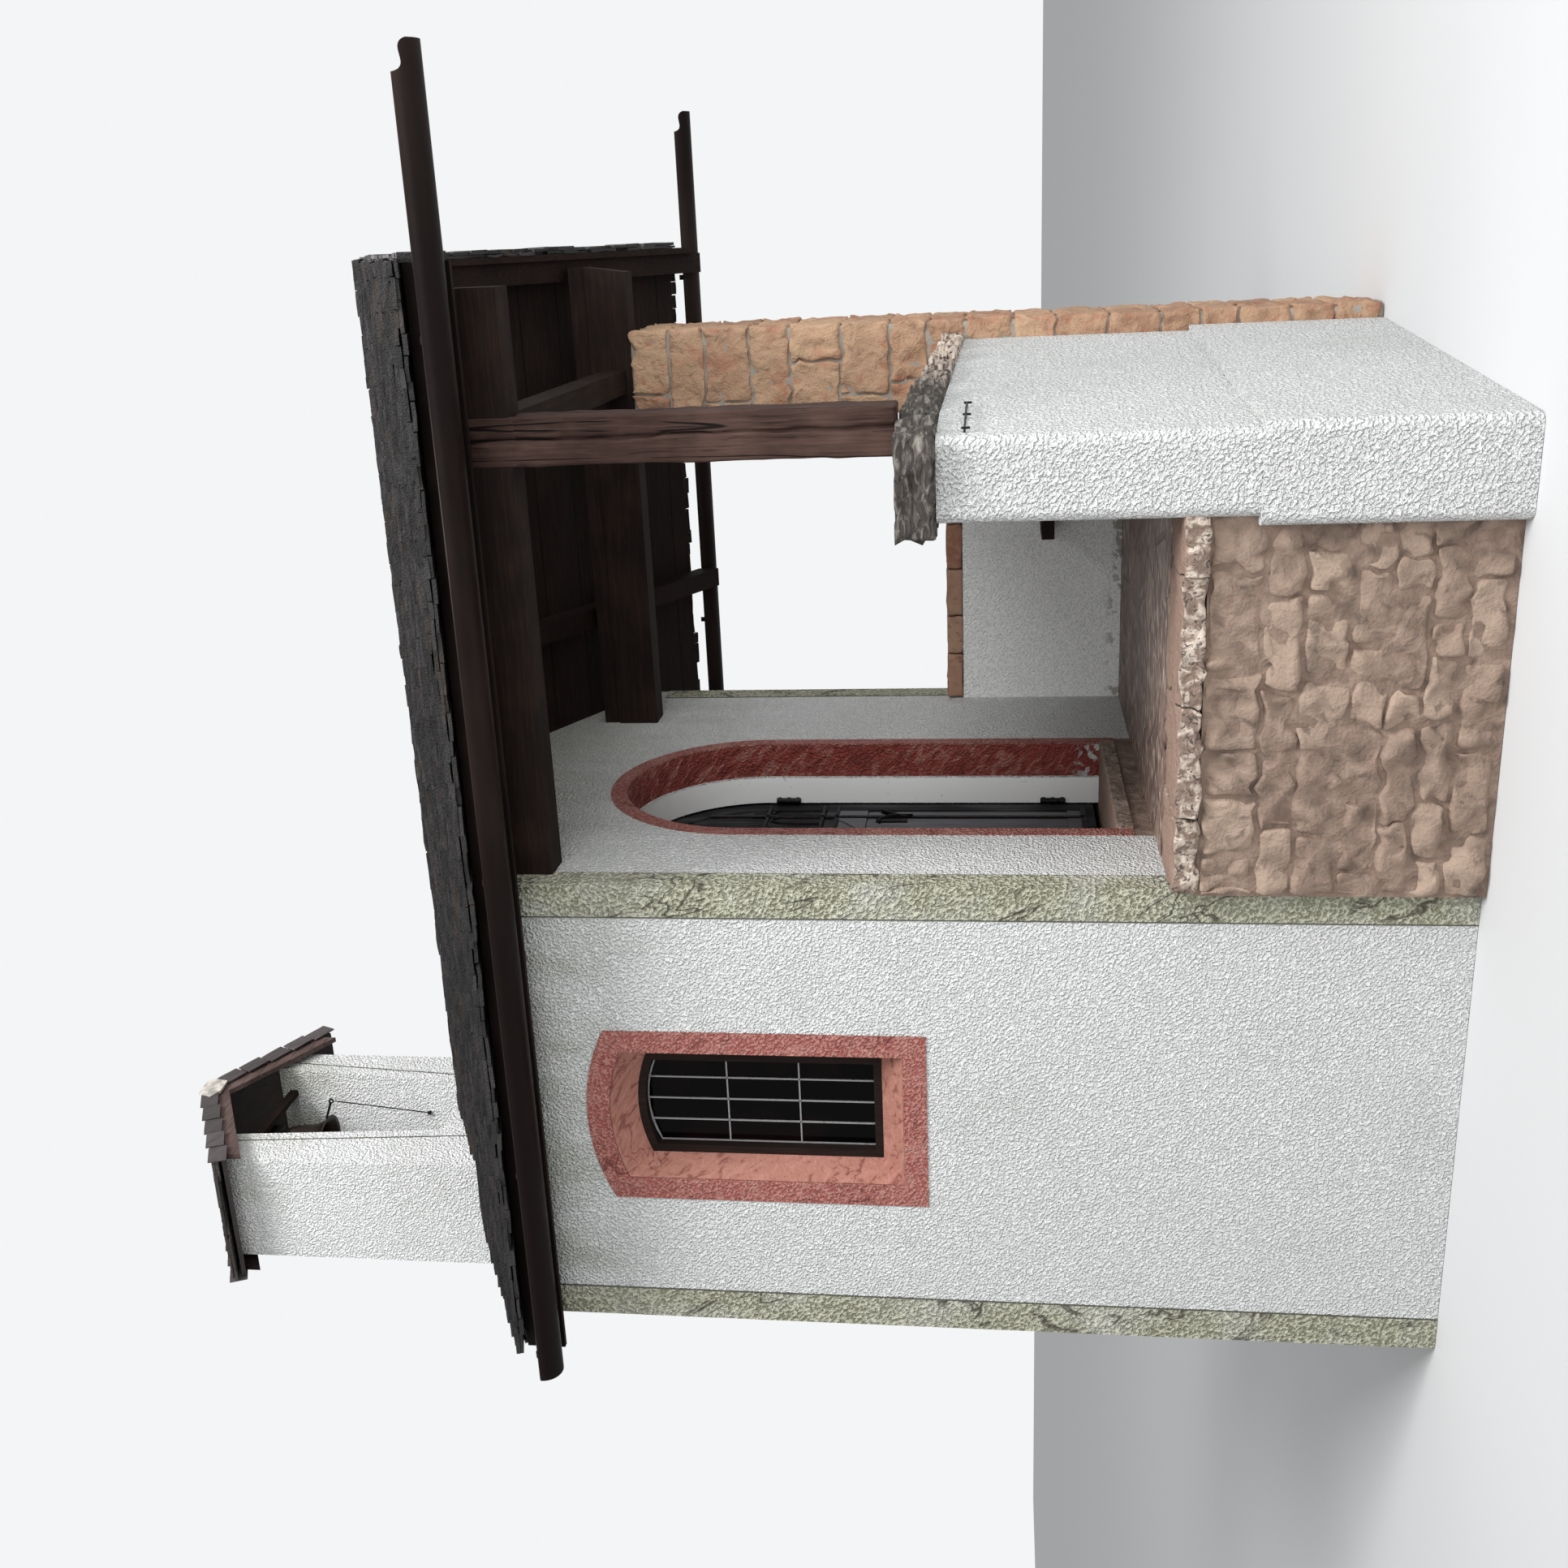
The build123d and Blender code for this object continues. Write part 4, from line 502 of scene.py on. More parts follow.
def stained_timber(name, dark, pale, fibre, wear=0.35, boards=0.0, turn=(0, 0, 0), fresh=None, split=0.0):
    """Spruce stained dark brown, worn pale on its grain.

    The fibre stretch is small along the grain. With boards set, dark joints stand at that pitch
    across X. With fresh set, wood past that place along Y has kept its dark stain. Split is the
    share of drying cracks, which are darkened near black as painted shade.
    """
    f = Finish(name, 0.75, specular=0.12)
    grain = f.add("noise", f.slanted(turn, fibre), Scale=95.0, Detail=4.0, Distortion=0.4)
    worn = f.add("times", f.cloud(0.22, 0.40, 0.75), wear)
    worn = f.add("plus", f.add("times", f.add("rise", grain, 0.45, 0.7), 0.3), worn)
    base = f.coat(f.coat(dark, pale, worn), TIMBER_GRAIN, f.add("rise", grain, 0.42, 0.30), 0.6)
    height = grain
    if fresh is not None:
        base = f.coat(base, linear("1B1311"), f.add("rise", f.y, fresh, fresh + 0.01))
    if split:
        drawn_out = tuple(0.042 if value < 1 else 1.0 for value in fibre)
        crack = f.add("noise", f.slanted(turn, drawn_out), Scale=7.0, Detail=2.0, Distortion=0.15)
        crack = f.add("times", f.line(crack, 0.010, 0.003), f.cloud(0.5, 1 - split, 1.05 - split, 1.0))
        # Painted shade: the drying cracks are darkened near black
        base = f.coat(base, CRACK_SHADE, crack)
        height = f.add("less", grain, f.add("times", crack, 3.0))
    if boards:
        across = f.add("split", f.add("map", f.place, Rotation=turn), out="X")
        gap = f.add("size", f.add("less", f.add("fraction", f.add("over", across, boards)), 0.5))
        gap = f.add("rise", gap, 0.475, 0.495)
        base = f.coat(base, BOARD_JOINT, gap)
        height = f.add("less", grain, f.add("times", gap, 4.0))
    return f.done(base, height, 0.002)


def painted_leaf(name, c, panel, heights):
    """Door leaf painted near black, with grey between two heights and within a half width of its middle;
    above the grey, the near black is partly painted shade of the dark room showing through.
    """
    f = Finish(name, 0.7, specular=0.15)
    middle, half = panel
    low, high = heights
    soft = 0.002
    grey = f.add("rise", f.add("size", f.add("less", f.x, middle)), half + soft, half)
    grey = f.add("times", grey, f.add("rise", f.z, high + soft, high))
    grey = f.add("times", grey, f.add("rise", f.z, low - soft, low))
    # Near black paint, and above the grey panels painted shade of the room showing through
    base = f.add("mix", grey, c.door_dark_and_room_shade, c.door_panel)
    base = f.coat(base, linear("86868A"), f.cloud(0.12, 0.4, 0.7, 4.0, (1, 1, 0.2)), 0.25)
    return f.done(base, f.cloud(0.02, 0.3, 0.7, 3.0, (1, 1, 0.05)), 0.001)


def hewn_stone(name, dark, pale, blemish, size, depth, patches):
    """Stone dressed with a pick: cloudy, pitted, each block its own tone."""
    f = Finish(name, 0.85)
    grain = f.add("noise", f.place, Scale=1 / size, Detail=6.0, Distortion=0.5)
    base = f.add("mix", f.add("tone", out="Fac"), dark, pale)
    base = f.coat(base, pale, f.add("rise", grain, 0.42, 0.65), 0.5)
    base = f.coat(base, blemish, f.add("rise", grain, 0.42, 0.30), 0.6)
    base = f.coat(base, blemish, f.cloud(0.16, 0.52, 0.68, 5.0), patches)
    fine = f.add("noise", f.place, Scale=6 / size, Detail=3.0)
    return f.done(base, f.add("plus", grain, f.add("times", fine, 0.25)), depth)


def mossy_coping(name, c):
    """Old coping stone in thin beds: dark brown with moss and lichen, paler and redder at its far end, its
    deepest hollows and cracks near black as painted shade.
    """
    f = Finish(name, 0.92)
    beds = f.add("map", f.place, Rotation=(0.12, 0.06, 0), Scale=(1, 1, 3.2))
    grain = f.add("noise", beds, Scale=15.0, Detail=9.0, Distortion=0.9)
    bare = f.add("mix", f.add("rise", grain, 0.36, 0.62), c.flag, c.slab_pale)
    dark = f.add("mix", f.add("rise", grain, 0.46, 0.78), c.moss, c.lichen)
    along = f.add("plus", f.x, f.add("times", grain, 0.6))
    base = f.add("mix", f.add("rise", along, -0.55, 0.55), dark, bare)
    # Painted shade: the lowest hollows and cracks of the beds turn near black
    base = f.coat(base, DEEP_SHADE, f.add("rise", grain, 0.44, 0.34), 0.8)
    base = f.coat(base, c.lichen, f.cloud(0.016, 0.70, 0.74, 1.0), 0.5)
    return f.done(base, grain, 0.022)


def broken_slab(name, c, bleached=1.0):
    """Edge slab: worn reddish on top, its broken face bleached white grey and pitted dark."""
    f = Finish(name, 0.85)
    grain = f.add("noise", f.place, Scale=21.0, Detail=8.0, Distortion=0.7)
    face = f.coat(c.slab, c.slab_pale, f.add("rise", grain, 0.42, 0.62), bleached)
    pits = f.add("noise", f.place, Scale=48.0, Detail=4.0, Distortion=1.2)
    face = f.coat(face, c.moss, f.add("rise", pits, 0.45, 0.36), 0.85)
    height = f.add("plus", grain, f.add("times", pits, 0.5))
    worn = f.add("mix", f.add("rise", height, 0.42, 0.68), c.flag, c.flag_pale)
    upward = f.add("split", f.add("NewGeometry", out="Normal"), out="Z")
    return f.done(f.add("mix", f.add("rise", upward, 0.55, 0.85), face, worn), height, 0.016)


def flagstones(name, c):
    """Red sandstone flags worn smooth and damp, with thin dark joints."""
    f = Finish(name, 0.5)
    laid = f.add("map", f.place, Scale=(1.0, 0.6, 1))
    tone = f.add("split", f.add("cells", laid, Scale=4.6, out="Color"), out="X")
    grain = f.add("noise", f.add("map", f.place, Scale=(1, 0.35, 1)), Scale=34.0, Detail=8.0, Distortion=0.6)
    base = f.coat(c.flag, c.flag_pale, tone, 0.75)
    base = f.coat(base, c.slab_pale, f.add("rise", grain, 0.50, 0.72))
    base = f.coat(base, c.moss, f.add("rise", grain, 0.44, 0.32), 0.7)
    joint = f.add("rise", f.add("cell edges", laid, Scale=4.6), 0.030, 0.008)
    base = f.coat(base, c.moss, joint, 0.65)
    return f.done(base, f.add("less", grain, joint), 0.008)


def painted_sheet(name, code, roughness):
    """Steel sheet painted dark brown: smooth, with a wet gloss and faint dust."""
    f = Finish(name, roughness, specular=0.07)
    base = f.coat(code, linear("43352F"), f.cloud(0.3, 0.45, 0.75, 4.0, (1, 0.2, 1)), 0.35)
    return f.done(base, f.cloud(0.12, 0.2, 0.8), 0.0012)


def forged_iron(name, code, metallic=0.7):
    """Hammered and oiled iron: near black with broad dents."""
    f = Finish(name, 0.48, metallic)
    base = f.coat(code, linear("4A2D20"), f.cloud(0.06, 0.55, 0.75, 5.0), 0.5)
    return f.done(base, f.cloud(0.02, 0.3, 0.7), 0.0015)


def cast_bronze(name, code):
    """Cast bell bronze gone dark brown, with a little green in its clouds."""
    f = Finish(name, 0.45, 0.85)
    base = f.coat(code, linear("47564A"), f.cloud(0.05, 0.55, 0.75, 4.0), 0.35)
    return f.done(base, f.cloud(0.008, 0.3, 0.7), 0.0006)


def window_pane(name):
    """Float glass before a dark room: near black with a faint reflection, slightly uneven; the near black and
    dark red are the painted shade of the room behind it.
    """
    f = Finish(name, 0.10, specular=0.05)
    base = f.add("mix", f.cloud(0.35, 0.4, 0.7, 2.0), linear("040404"), linear("120808"))
    return f.done(base, f.cloud(0.25, 0.2, 0.8, 1.0), 0.0008)


def weathered_zinc(name, code):
    """Zinc sheet gone chalky grey."""
    f = Finish(name, 0.6, 0.2)
    base = f.add("mix", f.cloud(0.05, 0.35, 0.7, 4.0), code, linear("8F8984"))
    return f.done(base, f.cloud(0.03, 0.3, 0.7), 0.001)


def all_materials():
    """Makes every surface once and keeps it by a short name."""
    c = bpy.context.scene.chapel_colours
    s = bpy.context.scene.chapel_sizes
    grain = s.plaster_grain
    along_x, along_y, along_z = (0.05, 1, 1), (1, 0.05, 1), (1, 1, 0.05)
    slopes = {"near": (0, -roof_angle, 0), "far": (0, roof_angle, 0)}
    # Heights over the part's top, where no algae show
    no_stain = (6, 7)
    # Middle and half width of the door's grey panels, and the two heights between which they lie
    panel, panel_heights = (-0.177, 0.488), (1.335, 2.53)

    def spruce(name, *settings, **more):
        """Stained timber in the chapel's own two browns."""
        return stained_timber(name, c.timber, c.timber_pale, *settings, **more)

    window_face = (nave_half - 0.001, nave_half + 0.002)
    made = {
        "wall": lime_roughcast("Lime roughcast, eaves stained", c, grain, (3.40, 4.0), 0.016),
        # On the porch wall the darkening from 3.0 m up to the porch roof is partly painted shade
        "porch wall": lime_roughcast("Lime roughcast, porch", c, grain, (3.0, 4.6), 0.016, smooth_past=0.166),
        "parapet wall": lime_roughcast("Lime roughcast, chipped foot", c, grain * 0.9, no_stain, 0.005, True),
        "pier wall": lime_roughcast("Lime roughcast, coarse", c, grain * 1.2, no_stain, 0.022),
        "turret wall": lime_roughcast("Lime roughcast, turret", c, grain, (5.28, 5.95), 0.012),
        "band": marbled_band("Roughcast painted as grey stone", c),
        "window red": marbled_red(
            "Plaster painted as red marble, window", c, "X", window_face, c.pink, 0.2, 0.30
        ),
        # The portal's reveal is deep red paint, darker still as painted shade in the recess
        "portal red": marbled_red(
            "Plaster painted as red marble, portal", c, "Y", (0.006, 0.003), c.red_deep_and_reveal_shade, 0.9, 0.5, 0.012, 1.27
        ),
        "turret shingle": split_shingle(
            "Sawn larch shingle", c.turret_shingle, linear("A89B98"), slopes["near"], 0.1
        ),
        "beam": spruce("Stained spruce beam", along_y),
        "cross": spruce("Stained spruce cross beam", along_x),
        "joinery": spruce("Dark stained joinery", along_z, 0.15),
        "post": stained_timber("Oiled larch post", c.post, c.post_pale, along_z, 0.45, split=0.5),
        # The door's upper boards are near black partly as painted shade, where the room behind shows through
        "door": stained_timber("Door stained black, with painted shade", c.door_dark_and_room_shade, c.door_panel, along_z, 0.10),
        "door leaf": painted_leaf("Door painted grey in its lower panels", c, panel, panel_heights),
        "door panel": stained_timber("Grey door board", c.door_panel, linear("86868A"), along_z, 0.30),
        "turret board": stained_timber(
            "Red stained board", c.turret_board, linear("75645F"), along_x, 0.5, fresh=2.1
        ),
        # The pillar's stone colours are darkened in part as painted shade of the roof
        "sandstone": hewn_stone(
            "Picked sandstone block", c.sandstone, c.sandstone_pale, linear("97604A"), 0.05, 0.018, 0.5
        ),
        "mortar": hewn_stone("Lime mortar", c.mortar, c.mortar, linear("6E675E"), 0.03, 0.003, 0.2),
        "slab": broken_slab("Rough sandstone slab", c),
        "step": broken_slab("Red sandstone step", c, 0.35),
        "rubble": hewn_stone("Rubble stone", c.rubble, linear("A08B7B"), linear("4A4038"), 0.07, 0.018, 0.45),
        "brick": hewn_stone("Old clay brick", c.brick, linear("A0826C"), linear("55402F"), 0.04, 0.005, 0.6),
        "coping": mossy_coping("Mossy coping stone", c),
        "flags": flagstones("Worn sandstone flags", c),
        "sheet": painted_sheet("Brown painted steel sheet", c.sheet, 0.36),
        "fascia": painted_sheet("Brown painted board", c.sheet, 0.55),
        "iron": forged_iron("Forged iron", c.iron),
        "lead": forged_iron("Grey leaded bar", linear("8A8A8A"), 0.0),
        "bronze": cast_bronze("Cast bell bronze", c.bronze),
        "pane": window_pane("Window pane"),
        "zinc": weathered_zinc("Weathered zinc sheet", c.zinc),
        # Incised lines: dark strips on the wall, their colour the painted shade of the grooves
        "line": forged_iron("Incised line", linear("47483F"), 0.0),
    }
    for side, moss in (("near", 0.25), ("far", 0.35)):
        turn = slopes[side]
        made[f"shingle {side}"] = split_shingle(
            f"Split larch shingle, {side}", c.shingle, c.shingle_pale, turn, moss
        )
        made[f"rafter {side}"] = spruce(f"Stained spruce rafter, {side}", along_x, 0.2, turn=turn)
        made[f"ceiling {side}"] = spruce(
            f"Stained spruce boarding, {side}", along_y, 0.15, s.board_width, turn
        )
    return made


# Which finish each node of the frame gets
NODE_SURFACES = {
    "wall": ("wall_side_near", "wall_side_far", "wall_rear"),
    "porch wall": ("wall_front_near", "wall_front_far", "wall_front_over"),
    "parapet wall": ("parapet_far",),
    "pier wall": ("parapet_front",),
    "turret wall": ("turret_walls", "bell_wall"),
    "band": ("pilasters_near", "pilasters_far"),
    "window red": ("surround_near", "surround_far"),
    "portal red": ("portal_jambs", "portal_arch"),
    "slab": ("platform_edge",),
    "step": ("threshold",),
    "rubble": ("door_foundation", "platform_base"),
    "flags": ("nave_floor", "platform_paving"),
    "brick": ("parapet_far_cap",),
    "coping": ("parapet_front_cap",),
    "mortar": ("stone_pillar",),
    "joinery": ("window_frame_near", "window_frame_far", "bell_bearings"),
    "door leaf": ("door_leaf",),
    "beam": ("purlin_near", "purlin_far", "ridge_beam", "bench_seat"),
    "cross": ("tie_beam", "verge_boards"),
    "post": ("post",),
    "rafter near": ("rafters_near",),
    "rafter far": ("rafters_far",),
    "ceiling near": ("roof_boards_near",),
    "ceiling far": ("roof_boards_far",),
    "shingle near": ("shingles_near",),
    "shingle far": ("shingles_far",),
    "turret shingle": ("turret_roof",),
    "turret board": ("turret_barges",),
    "sheet": ("gutter_near", "gutter_far"),
    "fascia": ("fascias",),
    "iron": ("door_ironwork", "door_pintles", "wall_iron", "bell_yoke", "pull_wire"),
    "bronze": ("bell",),
    "pane": ("window_glass",),
    "zinc": ("apex_plate",),
}
MATERIALS = {}


class CHAPEL_OT_surfaces(bpy.types.Operator):
    """Gives every node of the frame its surface."""

    bl_idname = "chapel.surfaces"
    bl_label = "Surfaces"

    def execute(self, context):
        MATERIALS.update(all_materials())
        for key, names in NODE_SURFACES.items():
            for name in names:
                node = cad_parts[name]
                if not node.material_slots:
                    node.data.materials.append(MATERIALS[key])
                for place in node.material_slots:
                    place.material = MATERIALS[key]
        return {"FINISHED"}


def slope_axes(side, angle):
    """Down the slope, out of the roof and along the ridge, for the near (-1) or far (1) side."""
    cos, sin = math.cos(angle), math.sin(angle)
    return np.array([side * cos, 0, -sin]), np.array([side * sin, 0, cos]), np.array([0.0, 1.0, 0.0])


def swung(first, second, angle):
    """Two directions f and g turned by an angle a in their plane: f cos a + g sin a and g cos a - f sin a."""
    cos, sin = np.cos(angle)[..., None], np.sin(angle)[..., None]
    return first * cos + second * sin, second * cos - first * sin


def shingle_courses(ridge, side, angle, run, span, sizes, seed, keep=None, ragged=0.0):
    """Courses of split shingles as (centres, sizes, turns).

    Course i has its butt at run - (i - 1) e from the ridge, e being the exposure, and course 0
    lies under course 1 as the doubled eaves. A shingle lies with its head on the boards and its
    butt on three others, so it leans out by asin(3 t / length). Widths, butts, thickness and
    turn are random in small ranges, each course ends at random within the ragged length of the
    verges, and keep may cut or drop pieces.
    """
    exposure, whole, widest, sheet = sizes
    narrowest, least = 0.45, 0.03
    down, out, along = slope_axes(side, angle)
    rng = np.random.default_rng(seed)
    made = []
    for i in range(int(run / exposure) + 2):
        under = i == 0
        widths = rng.uniform(narrowest, 1.0, int((span[1] - span[0]) / (narrowest * widest)) + 2) * widest
        first, last = span[0] + rng.uniform(0, ragged), span[1] - rng.uniform(0, ragged)
        ends = first + rng.uniform(-0.5, 0) * widest + np.cumsum(widths)
        starts = ends - widths
        inside = (ends > first + least) & (starts < last - least)
        starts, ends = np.maximum(starts[inside], first), np.minimum(ends[inside], last)
        n = len(starts)
        butt = run - max(i - 1, 0) * exposure
        butts = butt + rng.uniform(-0.2, 0.2, n) * exposure + (0.008 if under else 0)
        heads = np.maximum(butts - whole * rng.uniform(0.85, 1.05, n), 0.004)
        thick = sheet * rng.uniform(0.65, 1.25, n)
        if keep:
            starts, ends, butts, heads, thick = keep(starts, ends, butts, heads, thick)
        n, long = len(starts), butts - heads
        lean = math.asin(min(3 * sheet / whole, 0.5)) + rng.uniform(-0.012, 0.012, n)
        drop = (sheet * 1.1 if under else 0) + rng.uniform(0, 0.005, n)
        middle = ridge + along * ((starts + ends) / 2)[:, None] + down * ((butts + heads) / 2)[:, None]
        middle = middle - out * (thick / 2 + np.sin(lean) * long / 2 + drop)[:, None]
        fall, rise = swung(down, out, lean)
        across, fall = swung(along, fall, rng.uniform(-0.014, 0.014, n))
        gap = rng.uniform(0.001, 0.006, n)
        boxes = np.stack([ends - starts - gap, long, thick], 1)
        made.append((middle, boxes, np.stack([across, fall, rise], 2)))
    return [np.concatenate(each) for each in zip(*made)]


class CHAPEL_OT_roof_shingles(bpy.types.Operator):
    """Lays the split shingles of the main roof in courses, cut round the turret."""

    bl_idname = "chapel.roof_shingles"
    bl_label = "Roof shingles"

    # How far the courses run past the slab at the front and at the rear
    over_front, over_rear = 0.022, 0.015
    # The row of hung ends: width and length of a piece, the first and last of them down the
    # slope from the ridge and from the eaves, and how far their tops lie under the roof's top
    hung_pitch = 0.105
    hung_length = 0.15
    hung_from, hung_to = 0.05, 0.14
    hung_down = 0.050

    def execute(self, context):
        s = context.scene.chapel_sizes
        sizes = (s.exposure, s.shingle_length, s.shingle_width, s.shingle_sheet)
        turret_low, turret_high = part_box("turret_walls")
        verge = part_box("verge_boards")
        span = (near_low.y - self.over_front, near_high.y + self.over_rear)
        ridge = np.array([ridge_x, 0, ridge_z])
        cosine = math.cos(roof_angle)
        rng = np.random.default_rng(19)

        def around_turret(starts, ends, butts, heads, thick):
            """Cuts pieces at the turret's front and keeps their heads in its wall."""
            behind = ends > turret_low.y
            inside = behind & (butts < limit + 0.02)
            ends = np.where(inside, np.minimum(ends, turret_low.y), ends)
            heads = np.where(behind & ~inside, np.maximum(heads, limit - 0.06), heads)
            ok = (ends - starts > 0.025) & (butts - heads > 0.02)
            return starts[ok], ends[ok], butts[ok], heads[ok], thick[ok]

        for side, name in SIDES:
            run = run_near if side < 0 else run_far
            # Down the slope from the ridge to the turret's side wall
            limit = (ridge_x - turret_low.x if side < 0 else turret_high.x - ridge_x) / cosine
            laid = [shingle_courses(
                ridge, side, roof_angle, run / cosine, span, sizes, 11 + side, around_turret, 0.030
            )]
            # Shingle ends hang in a row down the front and the rear verge board
            down, out, along = slope_axes(side, roof_angle)
            reach = np.arange(self.hung_from, (run - self.hung_to) / cosine, self.hung_pitch)
            n = len(reach)
            for y, face in ((verge[0].y, -1), (verge[0].y - 0.014, -1), (verge[1].y, 1)):
                hang = self.hung_length * rng.uniform(0.8, 1.15, n)
                sheet = rng.uniform(0.009, 0.018, n)
                spots = ridge + down * (reach + rng.uniform(-0.012, 0.012, n))[:, None]
                spots = spots - out * (self.hung_down + hang / 2)[:, None]
                spots = spots + along * (y + face * (sheet / 2 + 0.0005))[:, None]
                fall, rise = swung(down, out, rng.uniform(-0.05, 0.05, n))
                boxes = np.stack([sheet, np.full(n, self.hung_pitch * 0.97), hang], 1)
                laid.append((spots, boxes, np.stack([np.tile(along, (n, 1)), fall, rise], 2)))
            laid = (np.concatenate(each) for each in zip(*laid))
            shape = blocks(*laid, cells=(2, 2, 1), rough=0.004, grain=0.05, seed=5)
            piece(
                f"roof_shingles_{name}", shape, f"shingle {name}", 3,
                replaces=(f"shingles_{name}",), smooth=False,
            )
        return {"FINISHED"}


class CHAPEL_OT_pillar(bpy.types.Operator):
    """Lays the picked sandstone blocks of the pillar in mortar, course by course."""

    bl_idname = "chapel.pillar"
    bl_label = "Stone pillar"

    # Course heights from the top down, and where the near face is split, from its rear edge
    heights = (0.186, 0.174, 0.226, 0.195, 0.245, 0.235)
    splits = (
        0.30, 0.0, 0.20, 0.0, 0.60, 0.22, 0.36, 0.0, 0.27, 0.0, 0.55, 0.0, 0.30, 0.24, 0.0, 0.5, 0.3, 0.2
    )
    lowest_course = 0.1
    # How far the mortar lies behind the faces of the blocks
    raked = 0.016

    def execute(self, context):
        joint = context.scene.chapel_sizes.joint
        low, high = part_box("stone_pillar")
        wide, deep = high.x - low.x, high.y - low.y
        rng = np.random.default_rng(21)
        centres, sizes = [], []
        top, course = high.z, 0
        while top > low.z + 0.01:
            foot = top - self.heights[course % len(self.heights)]
            if foot <= low.z + self.lowest_course:
                foot = low.z
            # Two blocks lie on the far side of the upright joint, one or two on its near side
            column = low.x + wide * (0.62 if course % 2 else 0.4) + rng.uniform(-0.03, 0.03)
            split = self.splits[course % len(self.splits)]
            cut = high.y - deep * split
            far_cut = low.y + deep * rng.uniform(0.4, 0.7)
            plans = [(column, high.x, low.y, far_cut), (column, high.x, far_cut, high.y)]
            plans.append((low.x, column, low.y, cut))
            if split:
                plans.append((low.x, column, cut, high.y))
            for x1, x2, y1, y2 in plans:
                centres.append(((x1 + x2) / 2, (y1 + y2) / 2, (foot + top) / 2))
                sizes.append((x2 - x1 - joint, y2 - y1 - joint, top - foot - joint))
            top, course = foot, course + 1
        shape = blocks(centres, sizes, radius=0.012, cells=(14, 14, 10), rough=0.016, grain=0.040, seed=8)
        shape[0][:, 2] = np.maximum(shape[0][:, 2], low.z)
        piece("pillar_blocks", shape, "sandstone", 4)
        middle = (low + high) / 2
        core = (wide - 2 * self.raked, deep - 2 * self.raked, high.z - low.z)
        shape = blocks([middle], [core], radius=0.01, cells=(6, 6, 20), rough=0.004, grain=0.06, seed=3)
        shape[0][:, 2] = np.clip(shape[0][:, 2], low.z, high.z)
        piece("pillar_mortar", shape, "mortar", 1, replaces=("stone_pillar",))
        return {"FINISHED"}


def row_of_stones(reach, lengths, section, start, along, joint, rng, spread):
    """Stones end to end on a straight line, as (centres, sizes).

    The section is their width and height, each less a random part of the spread. The last
    stone takes a rest shorter than 80 mm.
    """
    centres, sizes, at = [], [], 0
    while at < reach - 0.03:
        stop = min(at + lengths[len(sizes) % len(lengths)], reach)
        if reach - stop < 0.08:
            stop = reach
        centres.append(np.asarray(start) + np.asarray(along) * (at + stop) / 2)
        w, h = section[0] - rng.uniform(0, spread), section[1] - rng.uniform(0, spread * 0.4)
        sizes.append((stop - at - joint, w, h))
        at = stop
    return np.array(centres), np.array(sizes)


